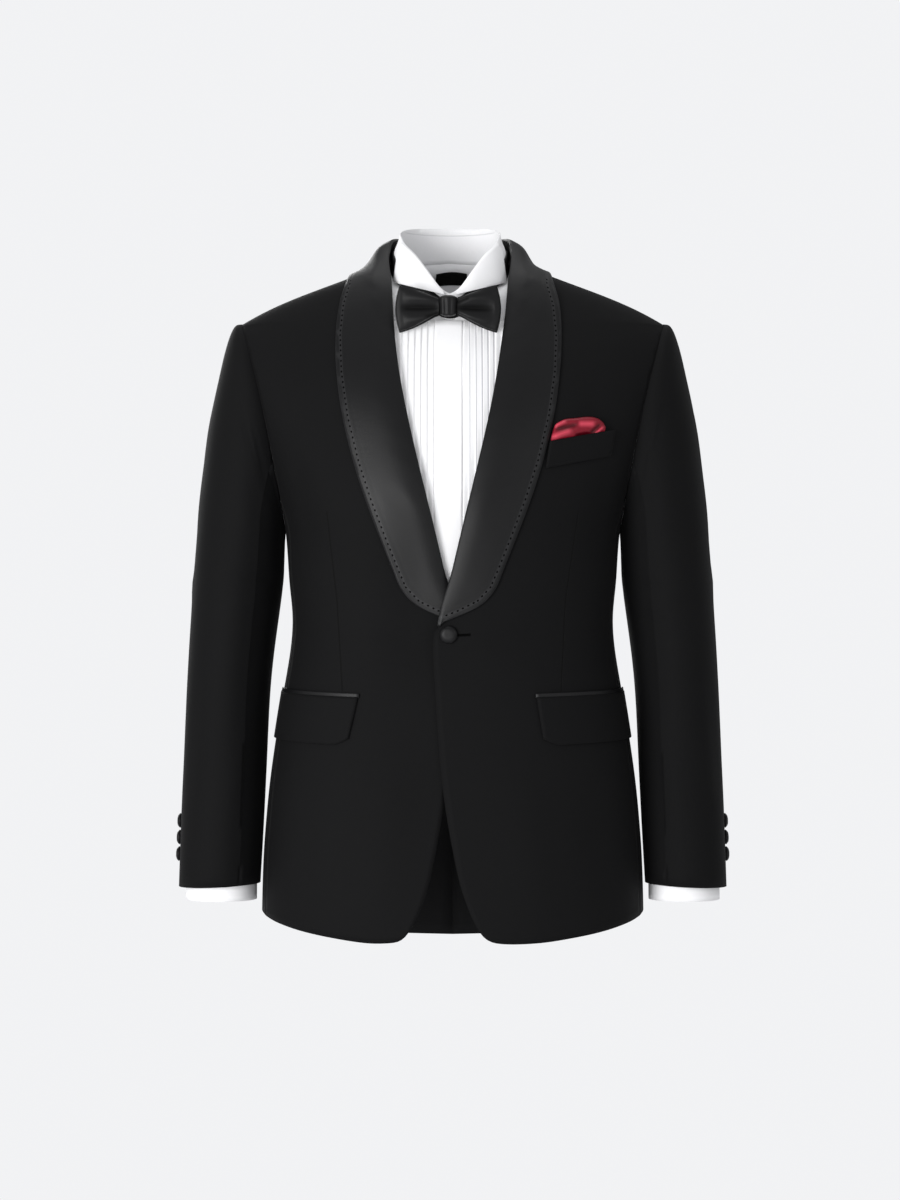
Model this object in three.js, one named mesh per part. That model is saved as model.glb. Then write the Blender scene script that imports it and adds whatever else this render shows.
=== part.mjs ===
// A shawl-collar dinner suit top: jacket, pleated wing-collar shirt, bow tie and pocket square,
// filled out as if worn, open at the neck, hem and cuffs. Millimetres, +Z up, the front faces -Y,
// +X is the wearer's left. The origin lies between the two points where the collar's outer edge
// meets the shoulder line.
import * as THREE from 'three';

// Driving dimensions
const woolWall = 1.6;
const satinWall = 1.7;
const shirtWall = 1.2;
const seamGap = 0.4;            // between pieces that are sewn edge to edge
const layGap = 0.9;             // under what lies on a curved panel
const jacketHemZ = -720;
const hemEaseZ = -600;          // below this the rows bend towards the hem's line
const shoulder = { x: 231, z: -53 };
const armpit = { x: 183, z: -278 };
const armholeHalfDepth = 64;
const armholeHollow = 5;        // how far the armhole's front and back bow towards the neck
const frontSeamTopZ = -250;     // where the front, the side panel and the sleeve meet
const backSeamTopZ = -235;
const cuffHemZ = -682;
const rollRadius = 3.4;         // of the folded edge of the shawl
const foldRoom = 3.2;           // from the shawl's fold to the front's edge inside it
const neckRoom = 8;             // the same beside the neck
const tipRoom = 1.5;            // below the shawl's point, before the front reaches its full lap
const placketWidth = 30;
const pleatPitch = 7;
const pleatCount = 9;
const pleatRise = 1.3;
const frontButton = { z: -392.6, radius: 9, height: 5 };
const sleeveButton = { topZ: -598, pitch: 18, radius: 7.8, height: 4.6, count: 3 };

// Level sections of the jacket's body. Above the armhole's foot the width follows from the armhole.
const bodySections = [
  { z: 20, width: 58, front: 32, back: 66, round: 2.0 },
  { z: 12, width: 76, front: 38, back: 69, round: 2.0 },
  { z: 0, width: 107, front: 46, back: 75, round: 2.0 },
  { z: -10, width: 134, front: 52, back: 78, round: 2.0 },
  { z: -20, width: 161, front: 57, back: 84, round: 2.0 },
  { z: -30, width: 185.5, front: 62, back: 88, round: 2.0 },
  { z: -40, width: 207.5, front: 67, back: 92, round: 2.0 },
  { z: -53, width: 231, front: 74, back: 98, round: 2.0 },
  { z: -100, width: 230, front: 97, back: 113, round: 2.15 },
  { z: -150, width: 225, front: 117, back: 122, round: 2.25 },
  { z: -200, width: 215, front: 129, back: 127, round: 2.35 },
  { z: -250, width: 196, front: 137, back: 127, round: 2.4 },
  { z: -278, width: 183, front: 139, back: 125, round: 2.4 },
  { z: -328, width: 180, front: 140, back: 117, round: 2.4 },
  { z: -378, width: 175.5, front: 139, back: 109, round: 2.4 },
  { z: -411, width: 178, front: 138, back: 106, round: 2.4 },
  { z: -452, width: 185, front: 138, back: 108, round: 2.4 },
  { z: -505, width: 193.5, front: 139, back: 114, round: 2.4 },
  { z: -551, width: 200, front: 140, back: 121, round: 2.45 },
  { z: -590, width: 204, front: 141, back: 126, round: 2.45 },
  { z: -640, width: 207.5, front: 142, back: 130, round: 2.5 },
  { z: -691, width: 209, front: 143, back: 133, round: 2.5 },
  { z: -740, width: 209.5, front: 143, back: 135, round: 2.5 },
];

// The hem's height by its angle round the body: 0 is the front, 180 the middle of the back.
const hemLine = [
  { turn: -20, z: -719 },
  { turn: 10, z: -720 },
  { turn: 20, z: -719 },
  { turn: 30, z: -715.5 },
  { turn: 45, z: -709.5 },
  { turn: 60, z: -703 },
  { turn: 75, z: -697.5 },
  { turn: 90, z: -694 },
  { turn: 105, z: -700 },
  { turn: 120, z: -711 },
  { turn: 140, z: -724 },
  { turn: 160, z: -733 },
  { turn: 180, z: -736.5 },
];

// The line on which the two fronts mirror each other.
const closureLine = [
  { z: 20, x: -3 },
  { z: -30, x: -3.5 },
  { z: -100, x: -5 },
  { z: -330, x: -5 },
  { z: -390, x: -4.5 },
  { z: -580, x: -9 },
  { z: -740, x: -9 },
];

// The shawl on the chest, from its point by the button up to the shoulder. Half-widths are
// distances from the closure line, negative where a front laps past it.
const shawlOnChest = [
  { rollHalf: -12.5, rollZ: -383, edgeHalf: -6, edgeZ: -379 },
  { rollHalf: -10, rollZ: -370, edgeHalf: 12, edgeZ: -372 },
  { rollHalf: -6, rollZ: -355, edgeHalf: 34, edgeZ: -361 },
  { rollHalf: 1.6, rollZ: -332, edgeHalf: 49, edgeZ: -345 },
  { rollHalf: 8.5, rollZ: -304, edgeHalf: 58, edgeZ: -324 },
  { rollHalf: 17.5, rollZ: -266, edgeHalf: 70, edgeZ: -294 },
  { rollHalf: 29, rollZ: -219, edgeHalf: 86, edgeZ: -252 },
  { rollHalf: 40.4, rollZ: -170, edgeHalf: 100, edgeZ: -209 },
  { rollHalf: 49.5, rollZ: -125, edgeHalf: 112, edgeZ: -160 },
  { rollHalf: 56.3, rollZ: -80, edgeHalf: 119, edgeZ: -112 },
  { rollHalf: 60.3, rollZ: -42, edgeHalf: 121, edgeZ: -70 },
  { rollHalf: 62.5, rollZ: -14, edgeHalf: 118, edgeZ: -36 },
  { rollHalf: 64.5, rollZ: 3, edgeHalf: 112, edgeZ: -14 },
];

// The shawl round the neck, from the shoulder to the middle of the back, in its own width from
// the neck's middle. The base is the foot of the collar's stand.
const shawlRoundNeck = [
  {
    rollX: 66.5, rollY: -6, rollZ: 25, shift: -3,
    edgeX: 104.5, edgeY: 3, edgeZ: 1, baseX: 70, baseY: -3, baseZ: 15,
  },
  {
    rollX: 64.5, rollY: 16, rollZ: 41, shift: -2,
    edgeX: 97, edgeY: 27, edgeZ: 0, baseX: 67, baseY: 22, baseZ: 15,
  },
  {
    rollX: 52, rollY: 47, rollZ: 45, shift: -1,
    edgeX: 80, edgeY: 60, edgeZ: -3, baseX: 53, baseY: 46, baseZ: 15,
  },
  {
    rollX: 29, rollY: 67, rollZ: 46.5, shift: -0.5,
    edgeX: 45, edgeY: 82, edgeZ: -7, baseX: 29, baseY: 63, baseZ: 15,
  },
  {
    rollX: 0.3, rollY: 74, rollZ: 47, shift: 0,
    edgeX: 0.3, edgeY: 89, edgeZ: -9, baseX: 0.3, baseY: 68.5, baseZ: 15,
  },
];

// How far each front reaches past the closure line below the shawl; negative where it opens.
const frontEdge = [
  { z: -384, lap: 13 },
  { z: -392, lap: 15.5 },
  { z: -408, lap: 16 },
  { z: -441, lap: 13.5 },
  { z: -465, lap: 11.5 },
  { z: -514, lap: 6.5 },
  { z: -562, lap: 0.5 },
  { z: -587, lap: -3.3 },
  { z: -623, lap: -9.8 },
  { z: -660, lap: -18 },
  { z: -684, lap: -26.5 },
  { z: -706, lap: -37 },
  { z: -720, lap: -49 },
];

// How deep the wearer's right front lies under the left one beside the closure line.
const underLap = [
  { z: -230, sink: 0 },
  { z: -315, sink: 8.8 },
  { z: -395, sink: 8.8 },
  { z: -450, sink: 3 },
  { z: -575, sink: 2.8 },
  { z: -650, sink: 0 },
];

// How far the shirt lies inside the jacket's outer face.
const shirtDepth = [
  { z: -200, inset: 8.4 },
  { z: -310, inset: 17 },
  { z: -420, inset: 17 },
  { z: -540, inset: 12 },
];

// Sections of the sleeve, from the armhole to the hem: the outer and the inner point of each, its
// half depth, where its middle lies from front to back, and how far its front and back bow in.
const sleeveSections = [
  { outX: 231, outZ: -53, inX: 183, inZ: -278, halfDepth: 64, midY: 0, hollow: 5 },
  { outX: 237, outZ: -53.5, inX: 183.5, inZ: -280, halfDepth: 66.5, midY: 0, hollow: 4 },
  { outX: 244, outZ: -64, inX: 183.9, inZ: -284, halfDepth: 69, midY: 0, hollow: 3 },
  { outX: 250.5, outZ: -86, inX: 184.3, inZ: -290, halfDepth: 70.5, midY: 0, hollow: 2 },
  { outX: 258, outZ: -118, inX: 184.6, inZ: -297, halfDepth: 72, midY: 0, hollow: 1 },
  { outX: 267, outZ: -163, inX: 184.9, inZ: -306, halfDepth: 72.5, midY: 0, hollow: 0 },
  { outX: 273, outZ: -212, inX: 185.2, inZ: -316, halfDepth: 72, midY: 0, hollow: 0 },
  { outX: 279, outZ: -262, inX: 185.8, inZ: -330, halfDepth: 71, midY: 1, hollow: 0 },
  { outX: 284.5, outZ: -328, inX: 188.5, inZ: -355, halfDepth: 69, midY: 2, hollow: 0 },
  { outX: 289, outZ: -394, inX: 195, inZ: -402, halfDepth: 66, midY: 2, hollow: 0 },
  { outX: 292.5, outZ: -460, inX: 201, inZ: -462, halfDepth: 62, midY: 0, hollow: 0 },
  { outX: 295, outZ: -526, inX: 203.8, inZ: -527, halfDepth: 58, midY: -4, hollow: 0 },
  { outX: 297.5, outZ: -592, inX: 206.6, inZ: -592, halfDepth: 54.5, midY: -10, hollow: 0 },
  { outX: 299.5, outZ: -668, inX: 210.4, inZ: -664, halfDepth: 51, midY: -17, hollow: 0 },
];

// The shirt collar's top edge and height by its angle round the neck: 0 is the front.
const collarTop = [
  { turn: 0, z: -25, height: 28 },
  { turn: 8, z: -21, height: 30 },
  { turn: 24, z: -2, height: 37 },
  { turn: 46, z: 22, height: 43 },
  { turn: 66, z: 35, height: 44 },
  { turn: 90, z: 46, height: 41 },
  { turn: 135, z: 56, height: 40 },
  { turn: 180, z: 59, height: 39 },
];
const shirtCollar = { midX: -3, midY: -1, topX: 55.5, topY: 59, baseX: 60.5, baseY: 62.5 };

// Maths shared by the pieces
const lerp = THREE.MathUtils.lerp;
const smooth = THREE.MathUtils.smoothstep;
const rad = THREE.MathUtils.degToRad;

// Reads a table by one of its columns, with a smooth curve that never overshoots its rows.
function reader(rows, key) {
  const sorted = [...rows].sort((a, b) => a[key] - b[key]);
  return (at, column) => {
    const last = sorted.length - 1;
    if (at <= sorted[0][key]) return sorted[0][column];
    if (at >= sorted[last][key]) return sorted[last][column];
    let i = 0;
    while (sorted[i + 1][key] < at) i += 1;
    const secant = (k) => {
      const run = sorted[k + 1][key] - sorted[k][key];
      return (sorted[k + 1][column] - sorted[k][column]) / run;
    };
    const slope = (k) => {
      if (k === 0) return secant(0);
      if (k === last) return secant(last - 1);
      const before = secant(k - 1);
      const after = secant(k);
      return before * after <= 0 ? 0 : (2 * before * after) / (before + after);
    };
    const run = sorted[i + 1][key] - sorted[i][key];
    const t = (at - sorted[i][key]) / run;
    const square = t * t;
    const cube = square * t;
    return (2 * cube - 3 * square + 1) * sorted[i][column]
      + (cube - 2 * square + t) * run * slope(i)
      + (3 * square - 2 * cube) * sorted[i + 1][column]
      + (cube - square) * run * slope(i + 1);
  };
}

const bodyTable = reader(bodySections, 'z');
const hemTable = reader(hemLine, 'turn');
const closureTable = reader(closureLine, 'z');
const rollTable = reader(shawlOnChest, 'rollZ');
const frontEdgeTable = reader(frontEdge, 'z');
const underLapTable = reader(underLap, 'z');
const shirtDepthTable = reader(shirtDepth, 'z');
const collarTopTable = reader(collarTop, 'turn');

// Evenly spaced numbers from a to b, both ends included.
function spread(a, b, cells) {
  return Array.from({ length: cells + 1 }, (unused, i) => lerp(a, b, i / cells));
}

// Builds a closed geometry from points and four-cornered faces, facing out.
function closedGeometry(points, quads) {
  const triangles = [];
  for (const [a, b, c, d] of quads) {
    triangles.push([a, b, c]);
    if (d !== undefined) triangles.push([a, c, d]);
  }
  let volume = 0;
  for (const [a, b, c] of triangles) {
    volume += points[a].dot(new THREE.Vector3().crossVectors(points[b], points[c])) / 6;
  }
  const index = triangles.flatMap(([a, b, c]) => (volume > 0 ? [a, b, c] : [a, c, b]));
  const geometry = new THREE.BufferGeometry();
  const flat = points.flatMap((p) => [p.x, p.y, p.z]);
  geometry.setAttribute('position', new THREE.Float32BufferAttribute(flat, 3));
  geometry.setIndex(index);
  geometry.computeVertexNormals();
  return geometry;
}

// Outward normals of a grid of points, from its own neighbours. The rows may close on themselves.
function gridNormals(grid, closed) {
  const rows = grid.length;
  const columns = grid[0].length;
  return grid.map((row, j) => row.map((unused, i) => {
    const left = closed ? (i + columns - 1) % columns : Math.max(i - 1, 0);
    const right = closed ? (i + 1) % columns : Math.min(i + 1, columns - 1);
    const across = new THREE.Vector3().subVectors(row[right], row[left]);
    const along = new THREE.Vector3().subVectors(
      grid[Math.min(j + 1, rows - 1)][i],
      grid[Math.max(j - 1, 0)][i],
    );
    return across.cross(along).normalize();
  }));
}

// A wall of even thickness behind a grid of outer points. inward(point, i, j) gives the direction
// from an outer point into the wall, or the grid's own normal is used, turned by turnSide.
function shell(grid, wall, { inward, closed = false, turnSide = 1 } = {}) {
  const rows = grid.length;
  const columns = grid[0].length;
  const normals = inward ? null : gridNormals(grid, closed);
  const points = [];
  grid.forEach((row) => row.forEach((p) => points.push(p)));
  grid.forEach((row, j) => row.forEach((p, i) => {
    const step = inward ? inward(p, i, j) : normals[j][i].clone().multiplyScalar(turnSide);
    const depth = typeof wall === 'function' ? wall(i, j) : wall;
    points.push(p.clone().addScaledVector(step, depth));
  }));
  const outer = (j, i) => j * columns + (i % columns);
  const inner = (j, i) => rows * columns + outer(j, i);
  const quads = [];
  const span = closed ? columns : columns - 1;
  for (let j = 0; j < rows - 1; j += 1) {
    for (let i = 0; i < span; i += 1) {
      quads.push([outer(j, i), outer(j, i + 1), outer(j + 1, i + 1), outer(j + 1, i)]);
      quads.push([inner(j, i), inner(j + 1, i), inner(j + 1, i + 1), inner(j, i + 1)]);
    }
  }
  for (let i = 0; i < span; i += 1) {
    quads.push([outer(0, i), inner(0, i), inner(0, i + 1), outer(0, i + 1)]);
    quads.push([outer(rows - 1, i), outer(rows - 1, i + 1), inner(rows - 1, i + 1), inner(rows - 1, i)]);
  }
  if (!closed) {
    for (let j = 0; j < rows - 1; j += 1) {
      quads.push([outer(j, 0), outer(j + 1, 0), inner(j + 1, 0), inner(j, 0)]);
      const last = columns - 1;
      quads.push([outer(j, last), inner(j, last), inner(j + 1, last), outer(j + 1, last)]);
    }
  }
  return closedGeometry(points, quads);
}

// A closed body through rings of the same number of points, with flat ends.
function loft(rings) {
  const count = rings[0].length;
  const points = rings.flat();
  const quads = [];
  for (let j = 0; j < rings.length - 1; j += 1) {
    for (let i = 0; i < count; i += 1) {
      const next = (i + 1) % count;
      quads.push([j * count + i, j * count + next, (j + 1) * count + next, (j + 1) * count + i]);
    }
  }
  const last = (rings.length - 1) * count;
  for (let i = 1; i < count - 1; i += 1) {
    quads.push([0, i + 1, i]);
    quads.push([last, last + i, last + i + 1]);
  }
  return closedGeometry(points, quads);
}

// The jacket's body surface

// Where the armhole's edge lies at a height, on the wearer's left.
function armholeAt(z) {
  const middle = (shoulder.z + armpit.z) / 2;
  const across = THREE.MathUtils.clamp((z - middle) / (shoulder.z - middle), -1, 1);
  const lift = Math.sqrt(Math.max(0, 1 - across * across));
  const straight = lerp(armpit.x, shoulder.x, (across + 1) / 2);
  return { x: straight - armholeHollow * lift * lift, y: armholeHalfDepth * lift };
}

// The level section at a height: a rounded oval that runs through the armhole's edge.
function sectionAt(z, behind) {
  const depth = bodyTable(z, behind ? 'back' : 'front');
  const round = bodyTable(z, 'round');
  let width = bodyTable(z, 'width');
  if (z < shoulder.z && z > armpit.z) {
    const hole = armholeAt(z);
    width = hole.x / Math.pow(1 - Math.pow(hole.y / depth, round), 1 / round);
  }
  return { width, depth, round };
}

// A point of the section by its angle round the body: 0 in front, PI behind, + to the left.
function bodyPoint(angle, z) {
  const behind = Math.abs(angle) > Math.PI / 2;
  const { width, depth, round } = sectionAt(z, behind);
  const sin = Math.sin(angle);
  const cos = Math.cos(angle);
  return new THREE.Vector3(
    width * Math.sign(sin) * Math.pow(Math.abs(sin), 2 / round),
    -depth * Math.sign(cos) * Math.pow(Math.abs(cos), 2 / round),
    z,
  );
}

function angleAtX(x, z, behind = false) {
  const { width, round } = sectionAt(z, behind);
  const share = Math.min(1, Math.pow(Math.abs(x) / width, round / 2));
  const angle = Math.sign(x) * Math.asin(share);
  return behind ? Math.PI - angle : angle;
}

function angleAtY(y, z) {
  const behind = y > 0;
  const { depth, round } = sectionAt(z, behind);
  const angle = Math.acos(Math.min(1, Math.pow(Math.abs(y) / depth, round / 2)));
  return behind ? Math.PI - angle : angle;
}

// 1 on the surface, less inside it and more outside.
function levelOf(p) {
  const { width, depth, round } = sectionAt(p.z, p.y > 0);
  const sum = Math.pow(Math.abs(p.x) / width, round) + Math.pow(Math.abs(p.y) / depth, round);
  return Math.pow(sum, 1 / round);
}

function levelGradient(p) {
  const h = 0.4;
  const rise = (axis) => {
    const ahead = p.clone();
    const back = p.clone();
    ahead[axis] += h;
    back[axis] -= h;
    return (levelOf(ahead) - levelOf(back)) / (2 * h);
  };
  return new THREE.Vector3(rise('x'), rise('y'), rise('z'));
}

function bodyNormal(p) {
  const q = p.clone();
  if (Math.abs(q.y) < 0.5) q.y = Math.sign(q.y || 1) * 0.5;
  return levelGradient(q).normalize();
}

// A point of the chest or the back by its place in front view, moved out by a distance.
function onBody(x, z, out, behind = false) {
  const p = bodyPoint(angleAtX(x, z, behind), z);
  return p.addScaledVector(bodyNormal(p), out);
}

// Moves a point out until it is at least this far outside the body surface.
function clearOfBody(p, distance) {
  const q = p.clone();
  for (let turn = 0; turn < 3; turn += 1) {
    const gradient = levelGradient(q);
    const slope = gradient.length();
    const away = (levelOf(q) - 1) / slope;
    if (away >= distance - 0.01) return q;
    q.addScaledVector(gradient, (distance - away) / slope);
  }
  return q;
}

// Half-widths are measured from the closure line, so a side's own x takes the line's shift.
const besideClosure = (side, half, z) => side * closureTable(z, 'x') + half;

// How far the wearer's right front is let in under the left one at a place; the sinking fades
// out between these two half-widths.
const sinkEnd = { inner: 24, outer: 95 };
function underSink(side, half, z) {
  if (side > 0) return 0;
  return underLapTable(z, 'sink') * (1 - smooth(half, sinkEnd.inner, sinkEnd.outer));
}

const intoBody = (p) => bodyNormal(p).negate();

// A piece on the wearer's right is the same shape on the other side.
function toSide(grid, side) {
  return grid.map((row) => row.map((p) => new THREE.Vector3(p.x * side, p.y, p.z)));
}

// Walls of one side's panel: worked out on the left, then mirrored.
function panel(grid, side, wall = woolWall) {
  const inner = grid.map((row) => row.map((p) => intoBody(p)));
  const mirrored = toSide(grid, side);
  return shell(mirrored, wall, {
    inward: (p, i, j) => new THREE.Vector3(inner[j][i].x * side, inner[j][i].y, inner[j][i].z),
  });
}

// Heights of a panel's rows: the neck and shoulder, the armhole in even turns, then to the hem.
function panelLevels(topZ, seamTopZ, bottomZ, cells) {
  const middle = (shoulder.z + armpit.z) / 2;
  const halfHeight = shoulder.z - middle;
  const seamTurn = Math.acos((seamTopZ - middle) / halfHeight);
  const down = spread(topZ, shoulder.z, cells.shoulder);
  const round = spread(0, seamTurn, cells.armhole).map((turn) => middle + halfHeight * Math.cos(turn));
  const below = spread(seamTopZ, bottomZ, cells.skirt);
  return [...down.slice(0, -1), ...round.slice(0, -1), ...below];
}

// Lets the lowest rows follow the hem's line.
function hemmed(angle, z, bottomZ) {
  const turn = THREE.MathUtils.radToDeg(Math.abs(angle));
  const share = smooth(bottomZ - z, bottomZ - hemEaseZ, 0);
  return z + (hemTable(turn, 'z') - bottomZ) * share;
}

const frontSeamY = (z) => -lerp(42, 50, smooth(-z, 400, 720));
const backSeamY = (z) => lerp(50.3, 62, smooth(-z, 300, 720));

// The jacket's panels

function frontInnerHalf(z) {
  const neckEdge = 77;
  const room = lerp(foldRoom, neckRoom, smooth(z, -40, -10));
  if (z > 3) return lerp(rollTable(3, 'rollHalf') + room, neckEdge, (z - 3) / 9);
  const last = shawlOnChest[0];
  if (z >= last.rollZ - tipRoom) return rollTable(z, 'rollHalf') + room;
  return -frontEdgeTable(z, 'lap');
}

function frontOuterY(z) {
  if (z >= shoulder.z) return -seamGap / 2;
  if (z > frontSeamTopZ) return -Math.max(armholeAt(z).y, seamGap / 2);
  return frontSeamY(z) - seamGap / 2;
}

// Each front's lowest corner is rounded: how far it is lifted, and over what width and height.
// The columns crowd towards the front's edge, where the curve is.
const hemCorner = { lift: 8, reach: 30, ease: 50, crowd: 1.25 };

function jacketFront(side) {
  const columns = 9;
  const tipZ = shawlOnChest[0].rollZ - tipRoom;
  const upper = panelLevels(10, frontSeamTopZ, tipZ, { shoulder: 4, armhole: 9, skirt: 5 });
  const levels = [...upper, ...spread(frontButton.z, jacketHemZ, 10)];
  const grid = levels.map((z) => {
    const lift = hemCorner.lift * smooth(jacketHemZ - z, -hemCorner.ease, 0);
    const half = frontInnerHalf(z + lift);
    const from = angleAtX(besideClosure(side, half, z), z);
    const to = angleAtY(frontOuterY(z), z);
    return spread(0, 1, columns).map((share) => {
      const angle = lerp(from, to, share ** hemCorner.crowd);
      const p = bodyPoint(angle, hemmed(angle, z, jacketHemZ));
      const fromEdge = p.x - besideClosure(side, half, z);
      p.z += lift * Math.max(0, 1 - fromEdge / hemCorner.reach) ** 2;
      const fromClosure = p.x - besideClosure(side, 0, z);
      return p.addScaledVector(intoBody(p), underSink(side, fromClosure, z));
    });
  });
  return panel(grid, side);
}

function jacketBack(side) {
  const columns = 6;
  const levels = panelLevels(12, backSeamTopZ, jacketHemZ, { shoulder: 4, armhole: 8, skirt: 11 });
  const grid = levels.map((z) => {
    let outerY = backSeamY(z) + seamGap / 2;
    if (z >= shoulder.z) outerY = seamGap / 2;
    else if (z > backSeamTopZ) outerY = Math.max(armholeAt(z).y, seamGap / 2);
    const from = angleAtX(seamGap / 2, z, true);
    const to = angleAtY(outerY, z);
    return spread(from, to, columns).map((angle) => bodyPoint(angle, hemmed(angle, z, jacketHemZ)));
  });
  return panel(grid, side);
}

// The side panel's top runs along the armhole's foot, so its rows start from there.
function jacketSide(side) {
  const columns = 4;
  const rows = 14;
  const middle = (shoulder.z + armpit.z) / 2;
  const halfHeight = shoulder.z - middle;
  const frontTurn = Math.acos((frontSeamTopZ - middle) / halfHeight);
  const backTurn = 2 * Math.PI - Math.acos((backSeamTopZ - middle) / halfHeight);
  const grid = spread(0, 1, rows).map((down) => spread(0, 1, columns).map((across) => {
    const turn = lerp(frontTurn, backTurn, across);
    const topZ = middle + halfHeight * Math.cos(turn);
    const topY = -armholeHalfDepth * Math.sin(turn);
    const z = lerp(topZ, jacketHemZ, down);
    const seamed = lerp(frontSeamY(z) + seamGap / 2, backSeamY(z) - seamGap / 2, across);
    const eased = down === 0 ? 0 : smooth(topZ - z, 0, 90);
    const inset = seamGap / 2 * Math.sign(0.5 - across) * (across === 0 || across === 1 ? 1 : 0);
    const y = lerp(topY + inset, seamed, eased);
    const angle = angleAtY(y || 0.01, z);
    return bodyPoint(angle, hemmed(angle, z, jacketHemZ));
  }));
  return panel(grid, side);
}

// Sleeves

const sleeveRows = sleeveSections.length - 1;
const sleeveTable = reader(sleeveSections.map((row, at) => ({ at, ...row })), 'at');

// A point of the left sleeve: at counts its sections, turn runs from the outside over the front.
function sleevePoint(at, turn, inset = 0) {
  const outX = sleeveTable(at, 'outX');
  const outZ = sleeveTable(at, 'outZ');
  const inX = sleeveTable(at, 'inX');
  const inZ = sleeveTable(at, 'inZ');
  const halfX = (outX - inX) / 2;
  const halfZ = (outZ - inZ) / 2;
  const shrink = 1 - inset / Math.hypot(halfX, halfZ);
  const cos = Math.cos(turn) * shrink;
  const sin = Math.sin(turn);
  const bow = sleeveTable(at, 'hollow') * sin * sin;
  return new THREE.Vector3(
    (outX + inX) / 2 + halfX * cos - bow + (at === 0 ? 2 * seamGap : 0),
    sleeveTable(at, 'midY') - (sleeveTable(at, 'halfDepth') - inset) * sin,
    (outZ + inZ) / 2 + halfZ * cos,
  );
}

const backSeamTurn = (at) => rad(lerp(-102, -30, smooth(at, 2, sleeveRows)));
const frontSeamTurn = (at) => rad(lerp(112, 122, at / sleeveRows));

// The direction from the left sleeve's surface into its hollow.
function intoSleeve(at, turn) {
  const step = 0.02;
  const near = THREE.MathUtils.clamp(at, 2 * step, sleeveRows - step);
  const around = sleevePoint(near, turn - step).sub(sleevePoint(near, turn + step));
  const along = sleevePoint(near + step, turn).sub(sleevePoint(near - step, turn));
  return around.cross(along).normalize();
}

function sleeveGrid(from, to, rows, columns) {
  const half = seamGap / 2 / 60;
  return spread(0, sleeveRows, rows).map((at) => (
    spread(from(at) + half, to(at) - half, columns).map((turn) => ({ at, turn }))
  ));
}

const sleeveCells = { rows: 20, top: 9, under: 7 };
const topSleeveGrid = () => sleeveGrid(backSeamTurn, frontSeamTurn, sleeveCells.rows, sleeveCells.top);
const underSleeveGrid = () => (
  sleeveGrid(frontSeamTurn, (at) => backSeamTurn(at) + 2 * Math.PI, sleeveCells.rows, sleeveCells.under)
);
const sleevePoints = (grid) => grid.map((row) => row.map(({ at, turn }) => sleevePoint(at, turn)));

function sleevePiece(grid, side) {
  return shell(toSide(sleevePoints(grid), side), woolWall, {
    inward: (p, i, j) => {
      const into = intoSleeve(grid[j][i].at, grid[j][i].turn);
      return new THREE.Vector3(into.x * side, into.y, into.z);
    },
  });
}

// A domed cloth-covered button that faces along a direction.
function buttonGeometry(radius, height, place, facing) {
  const profile = [
    new THREE.Vector2(0, 0),
    new THREE.Vector2(radius * 0.9, 0),
    new THREE.Vector2(radius, height * 0.45),
    new THREE.Vector2(radius * 0.7, height * 0.92),
    new THREE.Vector2(0, height),
  ];
  const geometry = new THREE.LatheGeometry(profile, 12);
  const turn = new THREE.Quaternion().setFromUnitVectors(new THREE.Vector3(0, 1, 0), facing);
  geometry.applyQuaternion(turn);
  geometry.translate(place.x, place.y, place.z);
  return geometry;
}

// The sleeve's buttons sit on the flat of the facet beside the back seam.
function sleeveButtonGeometry(side, number) {
  const grid = sleevePoints(topSleeveGrid());
  const z = sleeveButton.topZ - number * sleeveButton.pitch;
  const row = grid.findIndex((points) => points[0].z < z);
  const share = (grid[row - 1][0].z - z) / (grid[row - 1][0].z - grid[row][0].z);
  const cell = 1;
  const edge = (i) => grid[row - 1][i].clone().lerp(grid[row][i], share);
  const place = edge(cell).add(edge(cell + 1)).multiplyScalar(0.5);
  const along = new THREE.Vector3().subVectors(grid[row - 1][cell], grid[row][cell]);
  const across = new THREE.Vector3().subVectors(grid[row][cell + 1], grid[row][cell]);
  const facing = across.cross(along).normalize();
  if (facing.x < 0) facing.negate();
  place.addScaledVector(facing, 0.35);
  place.x *= side;
  facing.x *= side;
  return buttonGeometry(sleeveButton.radius, sleeveButton.height, place, facing);
}

// The shawl: one satin piece a side, folded over the front's edge and round the neck as a collar.

function shawlStations(side) {
  const chest = shawlOnChest.map((row) => {
    const roll = onBody(besideClosure(side, row.rollHalf, row.rollZ), row.rollZ, -0.65);
    const edge = onBody(besideClosure(side, row.edgeHalf, row.edgeZ), row.edgeZ, satinWall + layGap);
    return { roll, edge, base: null, neck: 0 };
  });
  const neck = shawlRoundNeck.map((row, i) => ({
    roll: new THREE.Vector3(side * row.shift + row.rollX, row.rollY, row.rollZ),
    edge: new THREE.Vector3(side * row.shift + row.edgeX, row.edgeY, row.edgeZ),
    base: new THREE.Vector3(side * row.shift + row.baseX, row.baseY, row.baseZ),
    neck: i === 0 ? 0.7 : 1,
  }));
  return [...chest, ...neck];
}

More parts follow.
